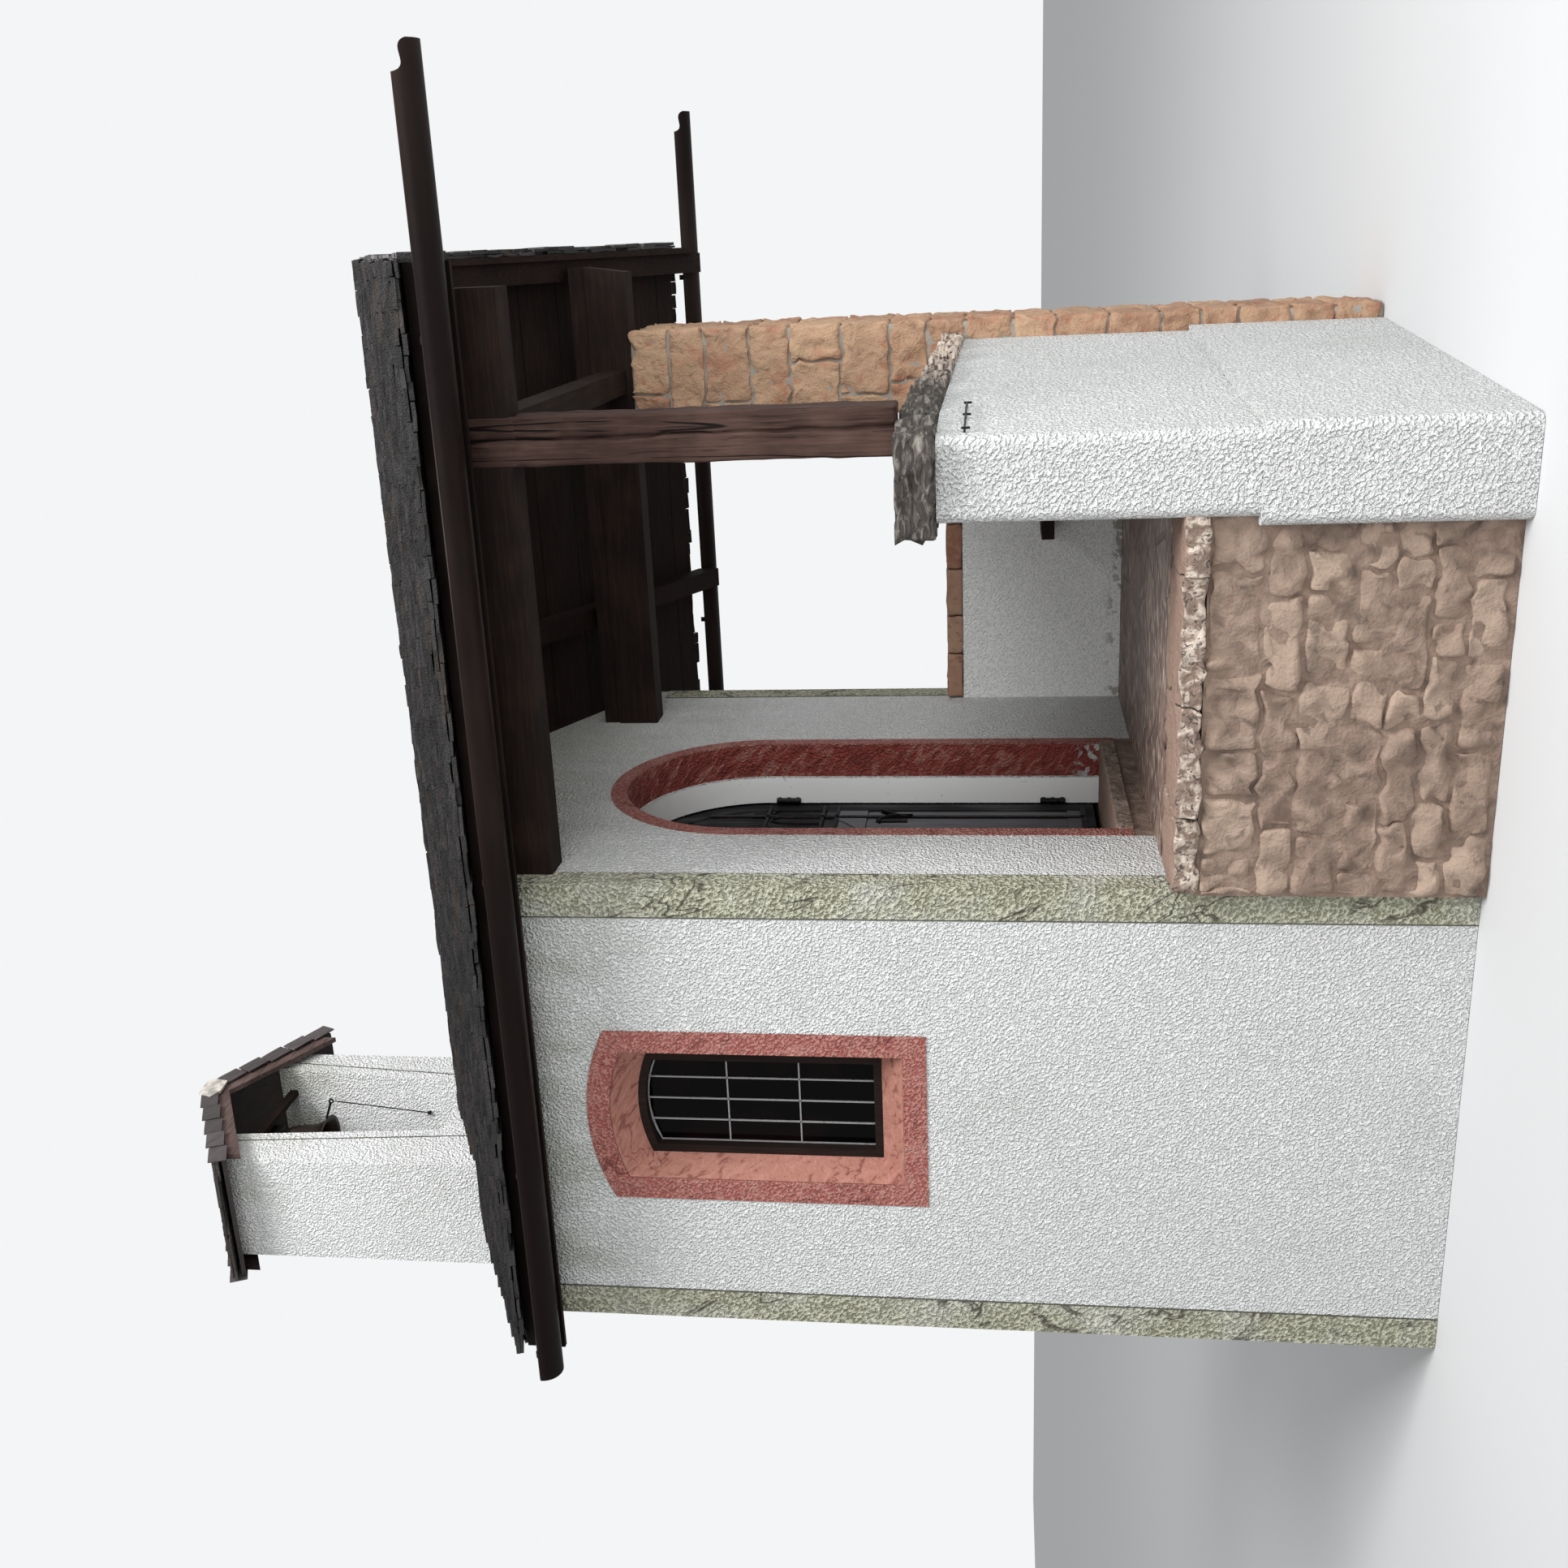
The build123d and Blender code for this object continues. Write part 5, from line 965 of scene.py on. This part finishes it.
class CHAPEL_OT_porch_stones(bpy.types.Operator):
    """Lays the edge slabs and the rubble under them, the brick cap and the coping of the porch."""

    bl_idname = "chapel.porch_stones"
    bl_label = "Porch stones"

    slab_lengths = (0.30, 0.42, 0.47, 0.31)
    # Each slab is set back (1) or forward (-1) by 0.4 of the way it could move, times this
    slab_shift = (1, -1, 1, 0.5)
    # The rubble face: least and greatest height and width of a stone, joint, depth, and how far
    # the stones' middle lies within the base's face
    rubble_tall, rubble_wide = (0.10, 0.20), (0.12, 0.36)
    rubble_joint, rubble_deep, rubble_inset = 0.014, 0.09, 0.035
    brick_lengths = (0.235, 0.21, 0.25)
    coping_lengths = (0.62, 0.52, 0.40, 0.33, 0.28, 0.34)
    coping_width = 0.385
    # Y of the coping's centre line at its near and its far end, and the X from which it falls
    coping_line = (-1.5335, -1.7435)
    coping_level_to = -1.062
    coping_thinned = 0.050

    def execute(self, context):
        rng = np.random.default_rng(31)
        # Swaps X and Y, so that a stone's length lies along Y
        lay_y = np.array([[0, 1, 0], [1, 0, 0], [0, 0, 1]], float)

        def row_to_front(low, high, lengths, joint, spread):
            """A row of stones that fills a box from its rear end to its front."""
            start = ((low.x + high.x) / 2, high.y, (low.z + high.z) / 2)
            section = (high.x - low.x, high.z - low.z)
            return row_of_stones(high.y - low.y, lengths, section, start, (0, -1, 0), joint, rng, spread)

        low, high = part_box("platform_edge")
        centres, sizes = row_to_front(low, high, self.slab_lengths, 0.006, 0.03)
        centres[:, 0] += ((high.x - low.x) - sizes[:, 1]) / 2 * np.array(self.slab_shift)[: len(sizes)] * 0.4
        shape = blocks(centres, sizes, lay_y, 0.010, cells=(26, 20, 9), rough=0.013, grain=0.045, seed=12)
        shape[0][:, 2] = np.minimum(shape[0][:, 2], high.z + 0.002)
        piece("edge_slabs", shape, "slab", 2, replaces=("platform_edge",))

        base_low, base_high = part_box("platform_base")
        centres, sizes = [], []
        z = base_high.z
        while z > base_low.z + 0.02:
            tall = min(rng.uniform(*self.rubble_tall), z - base_low.z)
            y = low.y - rng.uniform(0, 0.1)
            while y < high.y - 0.01:
                wide = min(rng.uniform(*self.rubble_wide), high.y - y)
                centres.append((base_low.x + self.rubble_inset, y + wide / 2, z - tall / 2))
                sizes.append((self.rubble_deep, wide - self.rubble_joint, tall - self.rubble_joint))
                y += wide
            z -= tall
        sizes = np.maximum(sizes, 0.02)
        shape = blocks(centres, sizes, radius=0.018, cells=(4, 12, 10), rough=0.026, grain=0.055, seed=14)
        shape[0][:, 2] = np.maximum(shape[0][:, 2], 0.0)
        piece("rubble_face", shape, "rubble", 6)

        centres, sizes = row_to_front(*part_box("parapet_far_cap"), self.brick_lengths, 0.007, 0.012)
        shape = blocks(centres, sizes, lay_y, 0.010, cells=(8, 8, 5), rough=0.007, grain=0.04, seed=15)
        piece("cap_bricks", shape, "brick", 7, replaces=("parapet_far_cap",))

        # The coping runs askew like its wall, and past its level part it falls and gets thinner
        low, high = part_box("parapet_front_cap")
        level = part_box("parapet_front")[1].z
        tall, wide = high.z - level, high.x - low.x
        near_y, far_y = self.coping_line
        skew = (near_y - far_y) / wide
        step = np.array([1, -skew, 0]) / math.hypot(1, skew)
        turn = np.stack([step, (-step[1], step[0], 0), (0, 0, 1)], axis=1)
        centres, sizes = row_of_stones(
            wide * math.hypot(1, skew), self.coping_lengths, (self.coping_width, tall),
            (low.x, near_y, level + tall / 2), step, 0.012, rng, 0.012,
        )
        sizes[:, 1] -= np.linspace(0, 0.025, len(sizes))
        shape = blocks(centres, sizes, turn, 0.022, cells=(34, 18, 9), rough=0.024, grain=0.045, seed=16)
        fallen = (shape[0][:, 0] - self.coping_level_to) / (high.x - self.coping_level_to)
        fallen = np.clip(fallen, 0, 1)
        share = (np.clip(shape[0][:, 2], level, high.z) - level) / tall
        shape[0][:, 2] = level - (level - low.z) * fallen + share * (tall - self.coping_thinned * fallen)
        piece("coping_stones", shape, "coping", 8, replaces=("parapet_front_cap",))
        return {"FINISHED"}


class CHAPEL_OT_post(bpy.types.Operator):
    """Shapes the square post with its long drying cracks, and the tongue that laps the purlin."""

    bl_idname = "chapel.post"
    bl_label = "Post"

    crack_depth = 0.020
    crack_width = 0.0055
    tongue = 0.045
    # How deep the tongue is set in the post's head, and how deep a face reaches for its cracks
    tongue_root = 0.02
    face_depth = 0.016
    # Axis and direction of each face, and how far its crack stands from the face's middle
    cracks = ((0, -1, -0.012), (1, -1, 0.03), (0, 1, 0.02), (1, 1, -0.03))

    def execute(self, context):
        low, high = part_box("post")
        beam_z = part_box("purlin_near")[0].z
        side = high.y - low.y
        centre = (low.x + side / 2, (low.y + high.y) / 2, (low.z + beam_z) / 2)
        size = (side, side, beam_z - low.z)
        shaft = blocks([centre], [size], radius=0.012, cells=(60, 60, 130), rough=0.0045, grain=0.07, seed=41)
        foot = beam_z - self.tongue_root
        spot = (low.x + self.tongue / 2, centre[1], (foot + high.z) / 2)
        size = (self.tongue, side, high.z - foot)
        tongue = blocks([spot], [size], radius=0.006, cells=(6, 30, 12), rough=0.002, grain=0.06, seed=42)
        points, faces = joined([shaft, tongue])
        line = np.zeros_like(points)
        line[:, 0] = points[:, 2]
        wander = 0.012 * smooth_noise(line, 0.35, 43) + 0.004 * smooth_noise(line, 0.06, 44)
        for axis, out, start in self.cracks:
            on_face = (points[:, axis] - centre[axis]) * out > side / 2 - self.face_depth
            off = points[:, 1 - axis] - centre[1 - axis] - start - wander
            width = self.crack_width * (1 + 0.7 * smooth_noise(line, 0.22, 45 + axis))
            points[:, axis] -= out * self.crack_depth * np.exp(-((off / width) ** 2)) * on_face
        piece("post_timber", (points, faces), "post", replaces=("post",))
        return {"FINISHED"}


class CHAPEL_OT_windows(bpy.types.Operator):
    """Sets the leaded bars and the bead round them in both windows."""

    bl_idname = "chapel.windows"
    bl_label = "Window bars"

    frame_bar = 0.034
    # Thickness of a bar, and width of the bead as a share of a bar's and its thickness
    bar_thick, bead = 0.006, (1.2, 0.008)
    # Rise of the frame's arched head, and how far the bars lie behind the frame's outer face
    rise = 0.048
    depth = 0.0445

    def execute(self, context):
        bar = context.scene.chapel_sizes.window_bar
        for side, name in SIDES:
            low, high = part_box(f"window_frame_{name}")
            face = (low.x if side < 0 else high.x) - side * self.depth
            y1, y2 = low.y + self.frame_bar, high.y - self.frame_bar
            z1, z2 = low.z + self.frame_bar, high.z - self.frame_bar

            def crown(y):
                """Height of the frame's inner head at y: a parabola that falls by the rise to both sides."""
                return z2 - self.rise * ((2 * y - y1 - y2) / (y2 - y1)) ** 2

            lines = []
            for y in (y1 + (y2 - y1) * k / 4 for k in (1, 2, 3)):
                lines.append([(face, y, z1), (face, y, crown(y))])
            for z in (z1 + (z2 - self.rise - z1) * k / 3 + 0.01 for k in (1, 2)):
                lines.append([(face, y1, z), (face, y2, z)])
            parts = [sweep(line, strip(bar, self.bar_thick), (1, 0, 0)) for line in lines]
            head = [(face, y, crown(y)) for y in np.linspace(y1, y2, 9)]
            loop = [(face, y1, z1), *head, (face, y2, z1)]
            parts.append(sweep(loop, strip(bar * self.bead[0], self.bead[1]), (1, 0, 0), closed=True))
            piece(f"window_bars_{name}", joined(parts), "lead", smooth=False)
        return {"FINISHED"}


class CHAPEL_OT_gutters(bpy.types.Operator):
    """Puts the rolled lip, the hooks and the sleeves of the joints on both gutters."""

    bl_idname = "chapel.gutters"
    bl_label = "Gutter fittings"

    lip_radius = 0.008
    # Y of the hooks that carry each gutter and of the sleeves over its joints
    hooks = {"near": (-2.1, -0.12, 1.160, 2.031), "far": (-2.2, -1.25, -0.3, 0.7, 1.7)}
    sleeves = (-1.393, -0.556)
    hook_section = strip(0.004, 0.026)
    sleeve_section = strip(0.003, 0.055)
    # How far their middle lies within the trough's outer radius, and how far the lip's does
    ring_inset = 0.0025
    lip_inset = 0.009
    # The roll at a hook's outer end: its first radius, the angle it turns and its middle's inset
    roll_radius = 0.015
    roll_turn = 4.6
    roll_inset = 0.0175

    def execute(self, context):
        half_turn, t = np.linspace(0, math.pi, 15), np.linspace(0, 1, 14)
        for side, name in SIDES:
            low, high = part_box(f"gutter_{name}")
            outer = low.x if side < 0 else high.x
            lip_x = outer - side * self.lip_inset
            lip = sweep([(lip_x, high.y, high.z), (lip_x, low.y + 0.10, high.z)], circle(self.lip_radius, 10))
            piece(f"gutter_lip_{name}", lip, "sheet")
            # Hooks and sleeves run round the trough, and a hook ends in a tail at the wall
            ring = (high.x - low.x) / 2 - self.ring_inset
            round_x = (low.x + high.x) / 2 + side * ring * np.cos(half_turn)
            round_z = high.z - ring * np.sin(half_turn)
            hook_x, hook_z = np.append(round_x, round_x[-1]), np.append(round_z, round_z[-1] + 0.02)
            # The hook's outer end is rolled in over the lip
            curl = self.roll_radius * (1 - 0.6 * t)
            roll_x = outer - side * (self.roll_inset - curl * np.cos(self.roll_turn * t))
            roll_z = high.z + curl * np.sin(self.roll_turn * t)
            parts = []
            for y in self.hooks[name]:
                for path in (at_depth(hook_x, y, hook_z), at_depth(roll_x, y, roll_z)):
                    parts.append(sweep(path, self.hook_section, (0, 1, 0)))
            for y in self.sleeves:
                parts.append(sweep(at_depth(round_x, y, round_z), self.sleeve_section, (0, 1, 0)))
            piece(f"gutter_brackets_{name}", joined(parts), "sheet", smooth=False)
        return {"FINISHED"}


class CHAPEL_OT_incised_lines(bpy.types.Operator):
    """Draws the incised lines beside the corner bands and round the bell niche, as thin dark strips whose
    colour is the painted shade of the grooves.
    """

    bl_idname = "chapel.incised_lines"
    bl_label = "Incised lines"

    line, proud, thick = 0.006, 0.0006, 0.004
    band, rear_band = 0.130, 0.134
    # Z at which the front lines start, over the paving and over the far parapet
    feet = {"near": 1.12, "far": 2.02}
    # Z of the niche lines' points, their distance from the middle at one height, and their lean
    niche_z = (4.24, 4.9, 5.56)
    niche_off = (0.303, 4.52)
    niche_lean = 0.09

    def execute(self, context):
        bars = []
        for side, name in SIDES:
            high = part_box(f"pilasters_{name}")[1]
            wall, foot = nave_half * side, self.feet[name]
            for y in (self.band + self.line / 2, high.y - self.rear_band - self.line / 2):
                bars.append(((wall + side * self.proud, y, high.z / 2), (self.thick, self.line, high.z)))
            x = wall - side * (self.band + self.line / 2)
            bars.append(((x, -self.proud, (foot + high.z) / 2), (self.line, self.thick, high.z - foot)))
            bars.append(((x, high.y - self.thick + self.proud, high.z / 2), (self.line, self.thick, high.z)))
        parts = [blocks(*zip(*bars))]
        # Beside the bell niche the lines lean out with its cheeks
        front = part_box("turret_walls")[0].y - self.proud
        off, level = self.niche_off
        for side, _ in SIDES:
            path = [(ridge_x + side * (off + self.niche_lean * (z - level)), front, z) for z in self.niche_z]
            parts.append(sweep(path, strip(self.thick, self.line), (0, 1, 0)))
        # The dark strips stand in for the grooves: their colour is painted shade
        piece("incised_lines", joined(parts), "line", smooth=False)
        return {"FINISHED"}


class CHAPEL_OT_door(bpy.types.Operator):
    """Boards the door leaf, lays its forged bars, arches and pull on it, and sets the knuckles."""

    bl_idname = "chapel.door"
    bl_label = "Door boards"

    # Pitch, gap and thickness of the boards, and how far their middle lies within the leaf's face
    board, board_gap, board_thick, board_inset = 0.098, 0.005, 0.009, 0.0075
    border = 0.096
    # Height of the kick rail, and Z of the middle rail's foot and top
    kick, rail = 0.13, (2.378, 2.588)
    # Width of an upright bar, thickness of all bars, and middle and length of a level one
    bar_wide, bar_thick, level_middle, level_long = 0.022, 0.008, 0.30, 0.49
    # X of the upright bars and the small arches from the leaf's middle; Z and height of the level bars
    uprights = (0.199, 0.397)
    arches = (-0.446, -0.348, 0.348, 0.446)
    # Half width and rise of a small arch, the Z of its spring, and the length of its straight feet
    arch, arch_z, arch_feet = (0.040, 0.055), 2.79, 0.18
    levels = ((1.345, 0.024), (2.53, 0.016), (2.60, 0.016), (2.87, 0.016))
    # Z of the pull's stem, and of its leaves' root
    stem, leaves = (2.16, 2.24), 2.232
    # Z of the knuckles, Y of their pins, and how far these stand inside the leaf's far edge
    knuckles, pin_y, pin_inset = (2.785, 1.485), 0.284, 0.028

    def execute(self, context):
        low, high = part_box("door_leaf")
        middle, radius = (low.x + high.x) / 2, (high.x - low.x) / 2
        spring, inner = high.z - radius, radius - self.border
        boards = {"door_boards": [], "door_boards_top": []}
        for x in np.arange(-inner + self.board / 2, inner, self.board):
            # The leaf's middle strip has no board
            if abs(x) < 0.04:
                continue
            crown = spring + math.sqrt(max(inner ** 2 - (abs(x) + self.board / 2) ** 2, 0.0))
            heights = ((low.z + self.kick, self.rail[0]), (self.rail[1], crown))
            for rows, (z1, z2) in zip(boards.values(), heights):
                if z2 - z1 > 0.05:
                    size = (self.board - self.board_gap, self.board_thick, z2 - z1)
                    rows.append(((middle + x, low.y + self.board_inset, (z1 + z2) / 2), size))
        for (name, rows), finish in zip(boards.items(), ("door panel", "door")):
            shape = blocks(*zip(*rows), radius=0.003, cells=(3, 2, 3))
            piece(name, shape, finish, body="door", smooth=False)

        # Flat bars stand and lie on the boards in mirrored pairs
        face, foot = low.y - 0.003, low.z + 0.05
        bars = []
        for x in self.uprights:
            top = spring + math.sqrt(inner ** 2 - x ** 2)
            size = (self.bar_wide, self.bar_thick, top - foot)
            bars += [((middle + s * x, face, (foot + top) / 2), size) for s in (-1, 1)]
        for z, tall in self.levels:
            size = (self.level_long, self.bar_thick, tall)
            bars += [((middle + s * self.level_middle, face, z), size) for s in (-1, 1)]
        parts = [blocks(*zip(*bars))]
        # Small round arches stand over each board, their feet on the bars
        half_turn, feet = np.linspace(0, math.pi, 15), [[0, 0, self.arch_feet]]
        arch_x, arch_z = self.arch[0] * np.cos(half_turn), self.arch_z + self.arch[1] * np.sin(half_turn)
        for x in self.arches:
            path = at_depth(middle + x + arch_x, face, arch_z)
            path = np.concatenate([path[:1] - feet, path, path[-1:] - feet])
            parts.append(sweep(path, circle(0.006), (0, 1, 0)))
        piece("door_bars", joined(parts), "iron", body="door", smooth=False)

        # The pull forks like a letter Y: two leaves rise from its stem and roll out at their tips
        x, y, t = middle + self.uprights[1], low.y - 0.010, np.linspace(0, 1, 18)
        rise = self.leaves + 0.105 * t - 0.020 * np.maximum(t - 0.8, 0) / 0.2
        parts = [sweep([(x, y, z) for z in self.stem], circle(0.009), (0, 1, 0))]
        for side in (-1, 1):
            path = at_depth(x + side * (0.004 + 0.082 * t ** 1.4), y, rise)
            parts.append(sweep(path, strip(0.007, 0.022), (0, 1, 0)))
        piece("door_pull_curls", joined(parts), "iron", body="door")

        # The hinge knuckles stand out on the far side of the reveal, each with three thicker rings
        x, y = middle + radius - self.pin_inset, self.pin_y
        turned = [(0.0, 0.06, 0.013), *((up, 0.008, 0.017) for up in (-0.045, 0.0, 0.045))]
        parts = []
        for z in self.knuckles:
            for up, half, thick in turned:
                ends = [(x, y, z + up - half), (x, y, z + up + half)]
                parts.append(sweep(ends, circle(thick, 12), (0, 1, 0)))
        piece("door_knuckles", joined(parts), "iron", smooth=False)
        return {"FINISHED"}


class CHAPEL_OT_turret_roof(bpy.types.Operator):
    """Lays the shingles of the turret roof and hangs the verge pieces at both its ends."""

    bl_idname = "chapel.turret_roof"
    bl_label = "Turret roof"

    slope = 0.57
    # Exposure, length, greatest width and thickness of a shingle
    shingle = (0.13, 0.30, 0.19, 0.014)
    # The verge pieces: width along X, number on each slope and lean against the slope
    verge_pitch = 0.125
    verge_count = 5
    verge_tilt = 0.10
    # Thickness and height of a verge piece, and how far its middle and the board's lie under the roof's top
    verge_section = (0.008, 0.086)
    verge_down = 0.037
    board_down = 0.060

    def execute(self, context):
        low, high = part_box("turret_roof")
        apex = np.array([(low.x + high.x) / 2, 0, high.z - 0.002])
        angle = math.atan(self.slope)
        run = (high.x - low.x) / 2 / math.cos(angle)
        pitch = self.verge_pitch / math.cos(angle)
        number = np.arange(self.verge_count)
        thick, tall = self.verge_section
        verge_box = np.tile((thick, pitch - 0.008, tall), (self.verge_count, 1))
        parts, tone = [], []
        for side, _ in SIDES:
            down, out, along = slope_axes(side, angle)
            span = (low.y + 0.002, high.y - 0.006)
            courses = shingle_courses(apex, side, angle, run - 0.008, span, self.shingle, 51 + side)
            parts.append(blocks(*courses, cells=(2, 2, 1), rough=0.003, grain=0.05, seed=52))
            tone.append(tones(parts[-1][2], 53 + side))
            # One board under the shingles closes the slope
            centre = apex + down * run / 2 - out * self.board_down + along * (low.y + high.y) / 2
            size = (high.y - low.y - 0.02, run - 0.03, 0.022)
            turn = np.stack([along, down, out], axis=1)
            parts.append(blocks([centre], [size], turn, 0.002, cells=(2, 6, 2)))
            tone.append(np.zeros(len(parts[-1][0])))
            fall, rise = swung(down, out, self.verge_tilt)
            turn = np.stack([along, fall, rise], axis=1)
            spots = apex + down * (run + 0.008 - pitch * (number + 0.5))[:, None] - out * self.verge_down
            for y in (low.y - 0.006, high.y - 0.008):
                # Every second piece lies a little behind its neighbours
                hung = spots + along * (y + 0.0015 * (-1.0) ** number)[:, None]
                parts.append(blocks(hung, verge_box, turn, 0.002, cells=(2, 3, 3), rough=0.002, seed=54))
                tone.append(0.35 + 0.6 * tones(parts[-1][2], 55))
        piece(
            "turret_shingles", joined(parts), "turret shingle",
            replaces=("turret_roof",), smooth=False, tone=np.concatenate(tone),
        )
        return {"FINISHED"}


class CHAPEL_OT_stage(bpy.types.Operator):
    """Sets the pale floor, the soft light and the camera at the photograph's place."""

    bl_idname = "chapel.stage"
    bl_label = "Stage"

    # The camera that was solved from the photograph's straight edges
    eye = (-7.0571, -2.3653, 1.7514)
    yaw = 0.3315
    pitch = 0.1333
    roll = -0.00196
    focal = 1963.5
    picture = 1932
    sensor = 36
    # The floor lies just under the part, so that their faces don't meet
    floor_width, floor_z = 120.0, -0.002
    # The panels' place, size and power, and the point they face
    panels = {
        "sky_panel": ((-5.5, -5.0, 12.0), 4.0, 1500.0),
        "front_panel": ((-5.0, -10.0, 4.0), 5.0, 510.0),
        "side_panel": ((-11.0, -3.0, 3.2), 5.0, 290.0),
    }
    lit = Vector((0, 0, 2.2))

    def execute(self, context):
        scene = context.scene
        cos_yaw, sin_yaw = math.cos(self.yaw), math.sin(self.yaw)
        level, rise = math.cos(self.pitch), math.sin(self.pitch)
        forward = Vector((cos_yaw * level, sin_yaw * level, rise))
        right = Vector((sin_yaw, -cos_yaw, 0))
        up = right.cross(forward)
        c, s = math.cos(self.roll), math.sin(self.roll)
        right, up = right * c + up * s, up * c - right * s
        # The stored photograph lies on its side: world up points to its left edge
        turned = Matrix((-up, right, -forward)).transposed().to_4x4()
        turned.translation = Vector(self.eye)
        data = bpy.data.cameras.new("photo_camera")
        data.sensor_width = self.sensor
        data.lens = self.sensor * self.focal / self.picture
        data.clip_end = 200
        camera = bpy.data.objects.new("photo_camera", data)
        camera.matrix_world = turned
        scene.collection.objects.link(camera)
        scene.camera = camera
        scene.view_settings.view_transform = "Standard"

        mesh = bpy.data.meshes.new("studio_floor")
        corners = [(x, y, self.floor_z) for x, y in strip(self.floor_width, self.floor_width)[[2, 3, 0, 1]]]
        mesh.from_pydata(corners, [], [(0, 1, 2, 3)])
        finish = Finish("Studio floor", 0.9)
        finish.shader["Base Color"].default_value = scene.chapel_colours.floor
        mesh.materials.append(finish.material)
        floor = bpy.data.objects.new("studio_floor", mesh)
        scene.collection.objects.link(floor)

        # The sky lights the scene dimmer than it is seen
        world = bpy.data.worlds.new("Studio sky")
        world.use_nodes = True
        scene.world = world
        tree = world.node_tree
        light = tree.nodes["Background"]
        light.inputs["Color"].default_value = linear("F3F4F4")
        light.inputs["Strength"].default_value = 0.58
        seen = add(tree, "Background", linear("F4F5F6"), 1.0)
        rays = [add(tree, "LightPath", out=f"Is {ray} Ray") for ray in ("Camera", "Glossy", "Transmission")]
        bare = add(tree, "greater", add(tree, "greater", rays[0], rays[1]), rays[2])
        both = add(tree, "MixShader", bare, light.outputs[0], seen)
        tree.links.new(both, tree.nodes["World Output"].inputs["Surface"])

        for name, (place, size, power) in self.panels.items():
            lamp = bpy.data.lights.new(name, "AREA")
            lamp.size = size
            lamp.energy = power
            obj = bpy.data.objects.new(name, lamp)
            obj.location = place
            obj.rotation_mode = "QUATERNION"
            obj.rotation_quaternion = (self.lit - Vector(place)).to_track_quat("-Z", "Y")
            scene.collection.objects.link(obj)
        return {"FINISHED"}


OPERATORS = (
    CHAPEL_OT_surfaces,
    CHAPEL_OT_roof_shingles,
    CHAPEL_OT_pillar,
    CHAPEL_OT_porch_stones,
    CHAPEL_OT_post,
    CHAPEL_OT_windows,
    CHAPEL_OT_gutters,
    CHAPEL_OT_incised_lines,
    CHAPEL_OT_door,
    CHAPEL_OT_turret_roof,
    CHAPEL_OT_stage,
)


class CHAPEL_PT_panel(bpy.types.Panel):
    """Lists the sizes, the colours and the steps of the chapel."""

    bl_idname = "CHAPEL_PT_panel"
    bl_label = "Wayside chapel"
    bl_space_type = "VIEW_3D"
    bl_region_type = "UI"
    bl_category = "Chapel"

    def draw(self, context):
        for group in (context.scene.chapel_sizes, context.scene.chapel_colours):
            for name in group.bl_rna.properties.keys():
                if name not in ("rna_type", "name"):
                    self.layout.prop(group, name)
        for operator in OPERATORS:
            self.layout.operator(operator.bl_idname)


CLASSES = (ChapelSizes, ChapelColours, *OPERATORS, CHAPEL_PT_panel)


def register():
    """Makes the classes and the scene's property groups known."""
    for each in CLASSES:
        bpy.utils.register_class(each)
    bpy.types.Scene.chapel_sizes = bpy.props.PointerProperty(type=ChapelSizes)
    bpy.types.Scene.chapel_colours = bpy.props.PointerProperty(type=ChapelColours)


def unregister():
    """Takes the property groups and the classes away."""
    del bpy.types.Scene.chapel_colours
    del bpy.types.Scene.chapel_sizes
    for each in reversed(CLASSES):
        bpy.utils.unregister_class(each)


def main():
    register()
    for operator in OPERATORS:
        group, name = operator.bl_idname.split(".")
        getattr(getattr(bpy.ops, group), name)()


if __name__ == "__main__":
    main()
